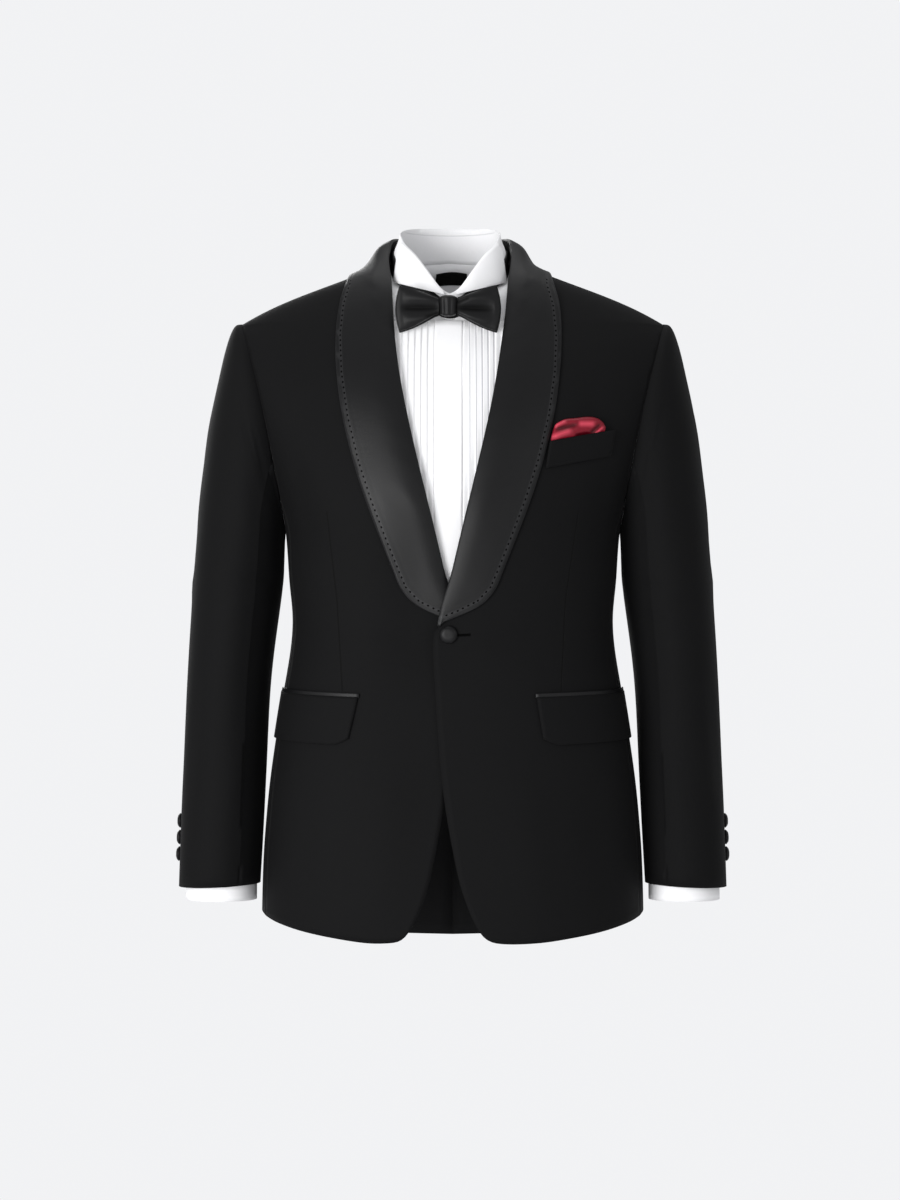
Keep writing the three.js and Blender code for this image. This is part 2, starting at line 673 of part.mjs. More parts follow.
function shawlGrid(side, rows, layers) {
  const stations = shawlStations(side);
  const rollCurve = new THREE.CatmullRomCurve3(stations.map((s) => s.roll));
  const edgeCurve = new THREE.CatmullRomCurve3(stations.map((s) => s.edge));
  const last = stations.length - 1;
  const lip = 7;
  const puff = 3;
  const fullWidth = 60;
  const ridgeRoom = 1.2;
  const fallBulge = 5;
  return spread(0, 1, rows).map((along) => {
    const roll = rollCurve.getPoint(along);
    const edge = edgeCurve.getPoint(along);
    const at = Math.min(last - 1, Math.floor(along * last));
    const share = along * last - at;
    const neck = lerp(stations[at].neck, stations[at + 1].neck, share);
    const tangent = rollCurve.getTangent(along);
    const surface = bodyNormal(roll);
    const fall = new THREE.Vector3().subVectors(edge, roll);
    fall.addScaledVector(surface, -fall.dot(surface) * (1 - neck)).normalize();
    fall.addScaledVector(tangent, -fall.dot(tangent)).normalize();
    const outward = new THREE.Vector3().crossVectors(fall, tangent).normalize();
    const centre = roll.clone().addScaledVector(fall, rollRadius);
    const lipEnd = centre.clone().addScaledVector(fall, lip - rollRadius);
    lipEnd.addScaledVector(outward, -rollRadius);
    const base = lipEnd.clone();
    if (neck > 0) {
      const neckBase = new THREE.Vector3();
      const one = stations[at].base ?? lipEnd;
      const two = stations[at + 1].base ?? lipEnd;
      neckBase.copy(one).lerp(two, share);
      base.copy(neckBase);
    }
    const row = [base];
    for (const turn of layers.nose) {
      row.push(centre.clone()
        .addScaledVector(fall, -rollRadius * Math.cos(rad(turn)))
        .addScaledVector(outward, rollRadius * Math.sin(rad(turn))));
    }
    const start = row[row.length - 1];
    for (let k = 1; k <= layers.fall; k += 1) {
      const q = k / layers.fall;
      const swell = Math.sin(Math.PI * Math.sqrt(q));
      const p = start.clone().lerp(edge, q).addScaledVector(outward, fallBulge * swell * neck);
      const loft = puff * Math.min(1, roll.distanceTo(edge) / fullWidth) ** 2;
      const ridge = ridgeRoom * smooth(p.z, -70, -25);
      row.push(clearOfBody(p, satinWall + layGap + ridge + loft * swell * (1 - neck)));
    }
    return row.map((p) => {
      const half = p.x - besideClosure(side, 0, p.z);
      p.addScaledVector(surface, -underSink(side, half, p.z));
      if (along > 0.9) p.x = Math.max(p.x, seamGap / 2);
      return p;
    });
  });
}

function shawl(side) {
  const rows = 27;
  const grid = shawlGrid(side, rows, { nose: [-90, -30, 30, 90], fall: 5 });
  const normals = gridNormals(grid, false);
  normals[rows].forEach((normal) => normal.setX(0).normalize());
  return shell(toSide(grid, side), satinWall, {
    inward: (p, i, j) => new THREE.Vector3(-normals[j][i].x * side, -normals[j][i].y, -normals[j][i].z),
  });
}

// Pockets

const flap = {
  innerX: 95, slant: 8.5, outerY: -8,
  topInZ: -460, topOutZ: -456, bottomInZ: -510, bottomOutZ: -505,
};
const jet = { height: 4, gap: 0.4, innerX: 93.5, outerY: -10 };
const welt = {
  leftX: 103, rightX: 172, leftTopZ: -188, rightTopZ: -174, height: 27.5, lean: -4, mouth: 2.3,
};

// A strip between two heights on one side's front, from an inner x round to near the side.
function pocketStrip(side, cells, { innerX, slant, outerY, topZ, bottomZ, wall }) {
  const across = spread(0, 1, cells.across);
  const grid = spread(0, 1, cells.down).map((down) => across.map((share) => {
    const z = lerp(topZ(share), bottomZ(share), down);
    const from = angleAtX(side * closureTable(z, 'x') + innerX + slant * down, z);
    const p = bodyPoint(lerp(from, angleAtY(outerY, z), share), z);
    return p.addScaledVector(bodyNormal(p), wall + layGap);
  }));
  return panel(grid, side, wall);
}

function pocketFlap(side) {
  const cornerShare = 0.12;
  const cornerLift = 7;
  return pocketStrip(side, { across: 11, down: 4 }, {
    ...flap,
    wall: 1.8,
    topZ: (share) => lerp(flap.topInZ, flap.topOutZ, share),
    bottomZ: (share) => {
      const rounding = Math.max(0, 1 - share / cornerShare);
      return lerp(flap.bottomInZ, flap.bottomOutZ, share) + cornerLift * rounding * rounding;
    },
  });
}

function pocketJet(side) {
  const bottom = (share) => lerp(flap.topInZ, flap.topOutZ, share) + jet.gap;
  return pocketStrip(side, { across: 10, down: 1 }, {
    ...jet,
    slant: 0,
    wall: 1.2,
    topZ: (share) => bottom(share) + jet.height,
    bottomZ: bottom,
  });
}

const weltTopZ = (x) => lerp(welt.leftTopZ, welt.rightTopZ, (x - welt.leftX) / (welt.rightX - welt.leftX));

function chestWelt() {
  const grid = spread(0, 1, 3).map((down) => spread(welt.leftX, welt.rightX, 7).map((x) => {
    const z = weltTopZ(x) - welt.height * down;
    return onBody(x + welt.lean * down, z, woolWall + layGap + welt.mouth * (1 - down));
  }));
  return panel(grid, 1, woolWall);
}

// The pocket square: a soft puff that rises from behind the welt.
const puffStations = [
  { share: 0, rise: 4, plump: 0.3 },
  { share: 0.05, rise: 15, plump: 0.6 },
  { share: 0.13, rise: 18.7, plump: 0.9 },
  { share: 0.27, rise: 21, plump: 0.8 },
  { share: 0.43, rise: 20, plump: 1 },
  { share: 0.62, rise: 19.6, plump: 0.75 },
  { share: 0.8, rise: 17.3, plump: 1 },
  { share: 0.92, rise: 13.2, plump: 0.7 },
  { share: 1, rise: 7, plump: 0.35 },
];
const puffSection = [
  { up: -4, out: 1, plump: 0 },
  { up: 0.45, out: 1, plump: 0 },
  { up: 0.9, out: 1.2, plump: 0 },
  { up: 1, out: 2.2, plump: 1.5 },
  { up: 0.85, out: 2.8, plump: 4.2 },
  { up: 0.5, out: 2.8, plump: 4.6 },
  { up: 0.12, out: 2.8, plump: 1.8 },
  { up: -0.2, out: 2.6, plump: 0 },
  { up: -4, out: 2.4, plump: 0 },
];

function pocketSquare() {
  const leftX = 104.5;
  const rightX = 161;
  return loft(puffStations.map((station) => puffSection.map((point) => {
    const x = lerp(leftX, rightX, station.share);
    const climb = point.up < 0 ? point.up : point.up * station.rise;
    return onBody(x, weltTopZ(x) + climb, point.out + point.plump * station.plump);
  })));
}

// The shirt

// A point of the shirt's surface under a point of the jacket's.
function intoShirt(p, out = 0) {
  return p.addScaledVector(bodyNormal(p), out - shirtDepthTable(p.z, 'inset'));
}

const shirtHemZ = -540;
const footRoom = 2.3;           // from the collar band to the shirt front beside its foot
const shirtSeamTopZ = -277;
const shirtColumns = 6;
const shirtRows = { shoulder: 4, armhole: 6, skirt: 3 };
const shirtTopZ = collarTopTable(90, 'z') - collarTopTable(90, 'height');
const shirtLevels = () => panelLevels(shirtTopZ, shirtSeamTopZ, shirtHemZ, shirtRows);

// The point of the collar's foot at a height, on one side, as seen from the front.
function collarFootAt(side, z) {
  let low = 0;
  let high = 90;
  for (let halving = 0; halving < 20; halving += 1) {
    const middle = (low + high) / 2;
    if (collarTopTable(middle, 'z') - collarHeight(middle) < z) low = middle;
    else high = middle;
  }
  const foot = collarPoint(side * high, 1, footRoom);
  return new THREE.Vector3(foot.x * side, foot.y, foot.z);
}

function shirtOuterY(z) {
  if (z >= shoulder.z) return seamGap / 2;
  if (z > armpit.z) return Math.max(armholeAt(z).y, seamGap / 2);
  return seamGap / 2;
}

function shirtFront(side) {
  const footZ = collarTop[0].z - collarTop[0].height;
  const grid = shirtLevels().map((z) => {
    const foot = z > footZ ? collarFootAt(side, z) : null;
    const half = foot ? foot.x - besideClosure(side, 0, z) : seamGap / 2;
    const from = angleAtX(besideClosure(side, half, z), z);
    const angles = spread(from, angleAtY(-shirtOuterY(z), z), shirtColumns);
    const row = angles.map((angle) => intoShirt(bodyPoint(angle, z)));
    if (!foot) return row;
    const reach = foot.sub(row[0]);
    return row.map((p, i) => p.addScaledVector(reach, (1 - i / shirtColumns) ** 2));
  });
  return panel(grid, side, shirtWall);
}

function shirtBack() {
  const grid = shirtLevels().map((z) => {
    const edge = angleAtY(shirtOuterY(z), z);
    const right = spread(edge, Math.PI - 0.001, 4).map((angle) => intoShirt(bodyPoint(angle, z)));
    const left = right.slice(0, -1).reverse().map((p) => new THREE.Vector3(-p.x, p.y, p.z));
    return [...right, ...left];
  });
  const neckline = spread(91, 269, 8).map((turn) => collarPoint(turn, 1, 0).setZ(
    collarPoint(turn, 1, 0).z - seamGap,
  ));
  return panel([neckline, ...grid], 1, shirtWall);
}

function onShirtFront(half, z, out) {
  const x = closureTable(z, 'x') + half;
  return intoShirt(bodyPoint(angleAtX(x, z), z), out);
}

const bib = { topZ: -52, bottomZ: -352, rows: 7 };

// Knife pleats: each folded edge stands proud and runs back under the next one.
function pleatedBib(side) {
  const lie = layGap + shirtWall;
  const foldStep = 0.9;
  const halves = [];
  for (let k = 0; k < pleatCount; k += 1) {
    const half = placketWidth / 2 + seamGap + pleatPitch * k;
    halves.push({ half, out: lie });
    halves.push({ half: half + foldStep, out: lie + pleatRise });
  }
  halves.push({ half: placketWidth / 2 + seamGap + pleatPitch * pleatCount, out: lie });
  const grid = spread(bib.topZ, bib.bottomZ, bib.rows).map((z) => (
    halves.map(({ half, out }) => onShirtFront(side * half, z, out))
  ));
  return shell(grid, shirtWall, { inward: intoBody });
}

function placket() {
  const wall = 2.2;
  const grid = spread(bib.topZ, bib.bottomZ, 10).map((z) => (
    spread(-placketWidth / 2, placketWidth / 2, 3).map((half) => onShirtFront(half, z, layGap + wall))
  ));
  return shell(grid, wall, { inward: intoBody });
}

// The turn from the front, the same on both sides.
const foldedTurn = (turn) => Math.abs(THREE.MathUtils.euclideanModulo(turn + 180, 360) - 180);
const collarHeight = (turn) => collarTopTable(turn, 'height');

// A point of the collar band: turn 0 in front, down 0 at its top edge and 1 at its foot.
function collarPoint(turn, down, out) {
  const fromFront = foldedTurn(turn);
  const topZ = collarTopTable(fromFront, 'z');
  const halfX = lerp(shirtCollar.topX, shirtCollar.baseX, down) + out;
  const halfY = lerp(shirtCollar.topY, shirtCollar.baseY, down) + out;
  return new THREE.Vector3(
    shirtCollar.midX + halfX * Math.sin(rad(turn)),
    shirtCollar.midY - halfY * Math.cos(rad(turn)),
    topZ - collarHeight(fromFront) * down,
  );
}

function ringOf(columns, pointAt) {
  return spread(0, 360, columns).slice(0, -1).map(pointAt);
}

const towardsNeck = (p) => (
  new THREE.Vector3(shirtCollar.midX - p.x, shirtCollar.midY - p.y, 0).normalize()
);

function collarBand() {
  const grid = spread(0, 1, 2).map((down) => ringOf(32, (turn) => collarPoint(turn, down, 0)));
  return shell(grid, shirtWall, { inward: towardsNeck, closed: true });
}

// A folded-down collar wing, outside the tie's band.
function collarWing(side) {
  const wing = { fromTurn: 6, toTurn: 64, lowIn: -26, lowOut: -9, stand: 1.7, tipStand: 5 };
  const grid = spread(0, 1, 4).map((down) => spread(0, 1, 7).map((share) => {
    const turn = side * lerp(wing.fromTurn, wing.toTurn, share);
    const topZ = collarTopTable(Math.abs(turn), 'z');
    const lowZ = lerp(wing.lowIn, wing.lowOut, share);
    const fall = (topZ - lowZ) * down / collarHeight(Math.abs(turn));
    return collarPoint(turn, fall, lerp(wing.stand, wing.tipStand, Math.sqrt(down)));
  }));
  return shell(grid, shirtWall, { inward: towardsNeck });
}

const tieBandHeight = 20;

function tieBand() {
  const wall = 1;
  const overFoot = 1.2;
  const grid = [tieBandHeight + overFoot, overFoot].map((rise) => ringOf(32, (turn) => (
    collarPoint(turn, 1 - rise / collarHeight(foldedTurn(turn)), wall + 0.35)
  )));
  return shell(grid, wall, { inward: towardsNeck, closed: true });
}

// The bow: a folded wing on each side, a thinner layer behind it and the knot.
const bow = { midX: -5, midZ: -40, midY: -82.1 };
const bowWing = [
  { along: 10.2, half: 9.5, thick: 4.8, lower: 0, bulge: 0 },
  { along: 15, half: 11, thick: 5.5, lower: 0.2, bulge: 0 },
  { along: 22, half: 14.5, thick: 6.5, lower: 0.6, bulge: 0.2 },
  { along: 32, half: 19, thick: 6.2, lower: 1.4, bulge: 1.2 },
  { along: 42.5, half: 22.8, thick: 4.6, lower: 2.1, bulge: 2.8 },
  { along: 50, half: 24.6, thick: 3.2, lower: 2.7, bulge: 4.4 },
  { along: 52, half: 25, thick: 2.2, lower: 2.8, bulge: 4.8 },
];

function bowLayer(side, { grow, thin, back, reach }) {
  const round = 0.72;
  return loft(bowWing.map((station) => ringOf(14, (turn) => {
    const sin = Math.sin(rad(turn));
    const cos = Math.cos(rad(turn));
    const rise = Math.sign(sin) * Math.pow(Math.abs(sin), round);
    return new THREE.Vector3(
      bow.midX + side * (station.along + station.bulge * (1 - rise * rise)) * reach,
      bow.midY + back + station.thick * thin * Math.sign(cos) * Math.pow(Math.abs(cos), round),
      bow.midZ - station.lower + (station.half + grow) * rise,
    );
  })));
}

function bowKnot() {
  const knot = { halfWidth: 9.8, halfHeight: 11, halfDepth: 7.5, forward: -1.5 };
  const waist = [
    { rise: -1, shrink: 0.55 },
    { rise: -0.82, shrink: 0.9 },
    { rise: 0, shrink: 0.94 },
    { rise: 0.82, shrink: 1 },
    { rise: 1, shrink: 0.6 },
  ];
  return loft(waist.map(({ rise, shrink }) => ringOf(14, (turn) => new THREE.Vector3(
    bow.midX + knot.halfWidth * shrink * Math.sign(Math.sin(rad(turn)))
      * Math.pow(Math.abs(Math.sin(rad(turn))), 0.7),
    bow.midY + knot.forward - knot.halfDepth * shrink * Math.cos(rad(turn)),
    bow.midZ + knot.halfHeight * rise,
  ))));
}

// Shirt sleeves run inside the jacket's and end in the cuffs.
const shirtSleeve = { inset: 8, columns: 10, rows: 8, armholeShift: 4.5 };
const cuff = { midX: 253, halfX: 38.8, topZ: -629, halfY: 44, topMidY: -14, midY: -19 };

function cuffPoint(turn, down) {
  return new THREE.Vector3(
    cuff.midX + cuff.halfX * Math.cos(rad(turn)),
    lerp(cuff.topMidY, cuff.midY, down) - cuff.halfY * Math.sin(rad(turn)),
    lerp(cuff.topZ, cuffHemZ, down),
  );
}

function shirtSleeveGeometry(side) {
  const endAt = sleeveRows - 0.7;
  const grid = spread(0, endAt, shirtSleeve.rows).map((at, j) => ringOf(shirtSleeve.columns, (turn) => {
    const p = sleevePoint(at, rad(turn), shirtSleeve.inset);
    if (j === 0) p.x -= shirtSleeve.armholeShift;
    return p;
  }));
  grid.push(ringOf(shirtSleeve.columns, (turn) => cuffPoint(turn, -seamGap / (cuff.topZ - cuffHemZ))));
  return shell(toSide(grid, side), shirtWall, { closed: true, turnSide: -side });
}

function shirtCuff(side) {
  const grid = spread(0, 1, 2).map((down) => ringOf(20, (turn) => cuffPoint(turn, down)));
  return shell(toSide(grid, side), 1.8, { closed: true, turnSide: -side });
}

// A plain woven label inside the shirt's yoke, under the collar.
function neckLabel() {
  const label = { leftX: -21.5, rightX: 18.5, topZ: 14, footZ: 0.8, room: 0.7, flatness: 0.16 };
  const grid = spread(label.topZ, label.footZ, 1).map((z) => (
    spread(label.leftX, label.rightX, 4).map((x) => (
      intoShirt(bodyPoint(angleAtX(x, z, true), z), -shirtWall - label.room - label.flatness * Math.abs(x))
    ))
  ));
  return shell(grid, 0.8, { inward: intoBody });
}

// Finishes
const wool = { color: '#1c1c1e', roughness: 0.85, metalness: 0 };
const satin = { color: '#2b2b2d', roughness: 0.38, metalness: 0 };
const bowSatin = { color: '#262628', roughness: 0.45, metalness: 0 };
const cotton = { color: '#f4f4f6', roughness: 0.8, metalness: 0 };
const silk = { color: '#8c2030', roughness: 0.4, metalness: 0 };
const ribbon = { color: '#151515', roughness: 0.7, metalness: 0 };

const tuxedo = new THREE.Group();

function addPiece(name, geometry, finish) {
  const mesh = new THREE.Mesh(geometry, new THREE.MeshStandardMaterial(finish));
  mesh.name = name;
  tuxedo.add(mesh);
}

const sides = [
  { side: 1, name: 'left' },
  { side: -1, name: 'right' },
];

for (const { side, name } of sides) {
  addPiece(`jacket_front_${name}`, jacketFront(side), wool);
  addPiece(`jacket_side_${name}`, jacketSide(side), wool);
  addPiece(`jacket_back_${name}`, jacketBack(side), wool);
  addPiece(`sleeve_top_${name}`, sleevePiece(topSleeveGrid(), side), wool);
  addPiece(`sleeve_under_${name}`, sleevePiece(underSleeveGrid(), side), wool);
  addPiece(`shawl_${name}`, shawl(side), satin);
  addPiece(`pocket_jet_${name}`, pocketJet(side), satin);
  addPiece(`pocket_flap_${name}`, pocketFlap(side), wool);
  for (let number = 0; number < sleeveButton.count; number += 1) {
    addPiece(`sleeve_button_${name}_${number + 1}`, sleeveButtonGeometry(side, number), satin);
  }
  addPiece(`shirt_front_${name}`, shirtFront(side), cotton);
  addPiece(`shirt_bib_${name}`, pleatedBib(side), cotton);
  addPiece(`shirt_sleeve_${name}`, shirtSleeveGeometry(side), cotton);
  addPiece(`shirt_cuff_${name}`, shirtCuff(side), cotton);
  addPiece(`collar_wing_${name}`, collarWing(side), cotton);
  addPiece(`bow_wing_${name}`, bowLayer(side, { grow: -1.2, thin: 0.8, back: 0, reach: 0.975 }), bowSatin);
  addPiece(`bow_back_${name}`, bowLayer(side, { grow: 0.6, thin: 0.22, back: 7, reach: 1 }), bowSatin);
}

addPiece('chest_welt', chestWelt(), wool);
addPiece('pocket_square', pocketSquare(), silk);
addPiece('shirt_back', shirtBack(), cotton);
addPiece('shirt_placket', placket(), cotton);
addPiece('shirt_collar', collarBand(), cotton);
addPiece('neck_label', neckLabel(), ribbon);
addPiece('tie_band', tieBand(), bowSatin);
addPiece('bow_knot', bowKnot(), bowSatin);

const buttonPlace = onBody(closureTable(frontButton.z, 'x'), frontButton.z, 0.6);
const buttonFacing = bodyNormal(buttonPlace);
const { radius, height } = frontButton;
addPiece('front_button', buttonGeometry(radius, height, buttonPlace, buttonFacing), satin);

export default tuxedo;
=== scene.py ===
import math

import bmesh
import bpy
from mathutils import Matrix, Vector
from mathutils.bvhtree import BVHTree


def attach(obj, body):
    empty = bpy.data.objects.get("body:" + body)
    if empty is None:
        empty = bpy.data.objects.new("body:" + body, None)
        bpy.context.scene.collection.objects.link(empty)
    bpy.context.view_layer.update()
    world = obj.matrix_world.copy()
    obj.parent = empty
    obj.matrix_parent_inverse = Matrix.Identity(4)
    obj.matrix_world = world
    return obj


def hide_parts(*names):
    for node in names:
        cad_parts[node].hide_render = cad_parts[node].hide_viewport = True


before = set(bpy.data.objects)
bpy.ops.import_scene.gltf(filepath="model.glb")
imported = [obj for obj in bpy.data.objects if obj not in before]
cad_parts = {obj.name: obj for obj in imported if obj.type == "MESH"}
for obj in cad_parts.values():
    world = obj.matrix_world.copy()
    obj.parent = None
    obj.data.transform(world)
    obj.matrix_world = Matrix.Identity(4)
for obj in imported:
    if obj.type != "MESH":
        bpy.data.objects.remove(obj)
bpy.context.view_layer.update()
mm = 0.001


# Camera, level with the middle of the jacket
view = {"place": (-0.003, -3.6, -0.356), "lens": 98.2, "sensor": 36}

camera = bpy.data.objects.new("camera", bpy.data.cameras.new("camera"))
camera.data.lens = view["lens"]
camera.data.sensor_width = view["sensor"]
camera.location = view["place"]
camera.rotation_euler = (math.radians(90), 0, 0)
bpy.context.scene.collection.objects.link(camera)
bpy.context.scene.camera = camera


# Shader maths: a wire is one output socket, and + - * / on it add Math nodes
class Wire:
    def __init__(self, paint, socket):
        self.paint = paint
        self.socket = socket

    def math(self, operation, *values):
        return self.paint.make("ShaderNodeMath", {"operation": operation}, list(values))

    def __add__(self, other):
        return self.math("ADD", self, other)

    def __sub__(self, other):
        return self.math("SUBTRACT", self, other)

    def __rsub__(self, other):
        return self.math("SUBTRACT", other, self)

    def __mul__(self, other):
        return self.math("MULTIPLY", self, other)

    def __truediv__(self, other):
        return self.math("DIVIDE", self, other)

    __radd__ = __add__

    def sine(self):
        return self.math("SINE", self)

    def size(self):
        return self.math("ABSOLUTE", self)

    def above(self, low, high):
        settings = {"interpolation_type": "SMOOTHSTEP"}
        return self.paint.make("ShaderNodeMapRange", settings, {0: self, 1: low, 2: high})

    def line(self, place, width):  # 1 along a thin line, 0 away from it
        return 1 - (self - place).size().above(width * 0.4, width)


class Paint:
    def __init__(self, name):
        self.material = bpy.data.materials.new(name)
        self.material.use_nodes = True
        self.tree = self.material.node_tree
        self.tree.nodes.clear()
        place = self.make("ShaderNodeTexCoord", output="Object")
        self.place = place
        self.x, self.y, self.z = [
            self.make("ShaderNodeSeparateXYZ", {}, [place], output=axis) for axis in "XYZ"
        ]

    def make(self, kind, settings=None, inputs=(), output=0):
        node = self.tree.nodes.new(kind)
        for key, value in (settings or {}).items():
            setattr(node, key, value)
        pairs = inputs.items() if isinstance(inputs, dict) else enumerate(inputs)
        for key, value in pairs:
            if isinstance(value, Wire):
                self.tree.links.new(value.socket, node.inputs[key])
            else:
                node.inputs[key].default_value = value
        return Wire(self, node.outputs[output]) if node.outputs else None

    def noise(self, scale, detail, stretch=None):
        place = self.place
        if stretch:
            place = self.make("ShaderNodeVectorMath", {"operation": "MULTIPLY"}, [place, stretch])
        inputs = {"Vector": place, "Scale": scale, "Detail": detail}
        return self.make("ShaderNodeTexNoise", {}, inputs)

    def stroke(self, start, end, width):  # 1 along a soft line seen from the front (mm)
        runX, runZ = (end[0] - start[0]) * mm, (end[1] - start[1]) * mm
        reach = math.hypot(runX, runZ)
        fromX, fromZ = self.x - start[0] * mm, self.z - start[1] * mm
        away = (fromX * -runZ + fromZ * runX) / reach
        along = (fromX * runX + fromZ * runZ) / reach
        ends = along.above(-0.1 * reach, 0.2 * reach) * (1 - along.above(0.8 * reach, 1.1 * reach))
        return (1 - away.size().above(0, width * mm)) * ends

    def blend(self, share, first, second):
        settings = {"data_type": "RGBA"}
        return self.make("ShaderNodeMix", settings, {0: share, 6: first, 7: second}, output=2)

    def finish(self, color, roughness, relief, depth, constants):
        bump = self.make("ShaderNodeBump", {}, {"Strength": 1.0, "Distance": depth, "Height": relief})
        inputs = {"Base Color": color, "Roughness": roughness, "Normal": bump, **constants}
        shader = self.make("ShaderNodeBsdfPrincipled", {}, inputs)
        self.make("ShaderNodeOutputMaterial", {}, [shader])
        return self.material


def rgba(*values):
    return (*values, 1.0)


# Each cloth's colours, roughness and relief; twill, thread, weave and twist say how fine it is
woolLook = {
    "dark": rgba(0.0022, 0.0022, 0.0025), "light": rgba(0.0046, 0.0046, 0.005),
    "dart": rgba(0.001, 0.001, 0.001), "dartDepth": 3.0,
    "twill": 5200, "roughness": 0.72, "relief": 0.12 * mm,
    "shine": {"Specular IOR Level": 0.14, "Sheen Weight": 0.015, "Sheen Roughness": 0.4},
}


def woolCloth():
    paint = Paint("blackWool")
    twill = ((paint.x + paint.z + paint.y * 0.6) * woolLook["twill"]).sine()
    fuzz = paint.noise(900, 3)
    patch = paint.noise(9, 2)
    dart = dartLines(paint)
    color = paint.blend(patch * 0.35 + fuzz * 0.4, woolLook["dark"], woolLook["light"])
    color = paint.blend(dart, color, woolLook["dart"])
    relief = twill * 0.25 + fuzz * 0.75 - dart * woolLook["dartDepth"]
    roughness = woolLook["roughness"] + fuzz * 0.12
    return paint.finish(color, roughness, relief, woolLook["relief"], woolLook["shine"])


# The darts are sewn lines on each front, from the chest to the pocket
darts = {
    "width": 0.9 * mm, "frontOnly": (-0.04, -0.02), "ends": 0.5 * mm,
    "top": -0.262, "bend": -0.356, "foot": -0.453,
    "left": (0.134, 0.120, 0.1155), "right": (-0.1345, -0.1235, -0.1175),
}


def dartLines(paint):
    front = 1 - paint.y.above(*darts["frontOnly"])
    found = 0
    for topX, bendX, footX in (darts["left"], darts["right"]):
        stretches = (
            (topX, darts["top"], bendX, darts["bend"]),
            (bendX, darts["bend"], footX, darts["foot"]),
        )
        for fromX, fromZ, toX, toZ in stretches:
            slope = (toX - fromX) / (toZ - fromZ)
            line = (paint.x - (paint.z - fromZ) * slope).line(fromX, darts["width"])
            low = paint.z.above(toZ - darts["ends"], toZ)
            high = paint.z.above(fromZ, fromZ + darts["ends"])
            found = line * (low * (1 - high)) + found
    return found * front


# The shawl's outer edge: half-widths from the closing line and heights, then points round the
# neck. The sewing beside it, a soft swell and a dip follow the edge. All in mm
shawlEdge = {
    "chest": [
        (-6, -379), (12, -372), (34, -361), (49, -345), (58, -324), (70, -294), (86, -252),
        (100, -209), (112, -160), (119, -112), (121, -70), (118, -36), (112, -14),
    ],
    "neck": [(103, 3, 1), (97, 27, 0), (79, 60, -3), (44.5, 82, -7), (0, 89, -9)],
    "closing": -5, "neckMiddle": -3, "steps": 6, "probeIn": 1.2, "probeAbove": 2,
    "stitchGap": 3.6, "stitchPitch": 6.4, "stitchSize": (1.35, 1.0, 0.25),
    # Width of the sewn line's groove; then a lighter band of painted sheen along it: width and colour
    "groove": 1.5, "band": 2.4, "sheenBandColor": rgba(0.014, 0.014, 0.015),
    "swell": (6.4, 3.0), "dip": (9.4, 2.5),
}
castFrom = -0.4  # rays towards the jacket start this far in front of it (m)


# Satin shines along its threads; the bow's valleys are shaded
satinLook = {
    "threads": (1500, 6000), "relief": 0.1 * mm, "anisotropic": 0.35,
    "valley": rgba(0.0008, 0.0008, 0.0009), "shadeWidth": 1.3, "shadeDepth": 0.9,
    "shawl": {
        "dark": rgba(0.0025, 0.0025, 0.003), "light": rgba(0.006, 0.006, 0.0065),
        "roughness": 0.4, "shine": 0.26,
    },
    "bow": {
        "dark": rgba(0.008, 0.008, 0.0085), "light": rgba(0.012, 0.012, 0.0125),
        "roughness": 0.36, "shine": 0.15,
    },
}


# The bow is drawn together at the knot: a deep valley runs out of it along each wing, between
# two soft swells. Distances are taken outwards from the middle.
bowFolds = {
    "middle": -5,
    "left": [
        {"start": (8, -42), "end": (50, -43), "width": 4.8, "depth": -5.0, "soft": 1.2},
        {"start": (12, -33), "end": (50, -29), "width": 5.0, "depth": 1.5},
        {"start": (12, -52), "end": (46, -57), "width": 5.4, "depth": 1.3},
        {"start": (9, -37), "end": (24, -31), "width": 2.6, "depth": -0.8},
    ],
    "right": [
        {"start": (8, -42), "end": (51, -42), "width": 4.8, "depth": -4.8, "soft": 1.2},
        {"start": (12, -33), "end": (49, -30), "width": 5.2, "depth": 1.4},
        {"start": (12, -52), "end": (48, -56), "width": 5.0, "depth": 1.4},
        {"start": (9, -47), "end": (25, -52), "width": 2.8, "depth": -0.8},
    ],
    "knot": [
        {"start": (-3.6, -31), "end": (-2.6, -52), "width": 1.5, "depth": -0.9},
        {"start": (3.0, -31), "end": (2.2, -52), "width": 1.6, "depth": -0.8},
    ],
}


def bowShade(paint):
    shade = 0
    for name, sign in (("left", 1), ("right", -1)):
        for fold in bowFolds[name]:
            ends = [(bowFolds["middle"] + sign * x, z) for x, z in (fold["start"], fold["end"])]
            if fold["depth"] < 0:
                width = fold["width"] * satinLook["shadeWidth"]
                shade = paint.stroke(*ends, width) * satinLook["shadeDepth"] + shade
    return shade


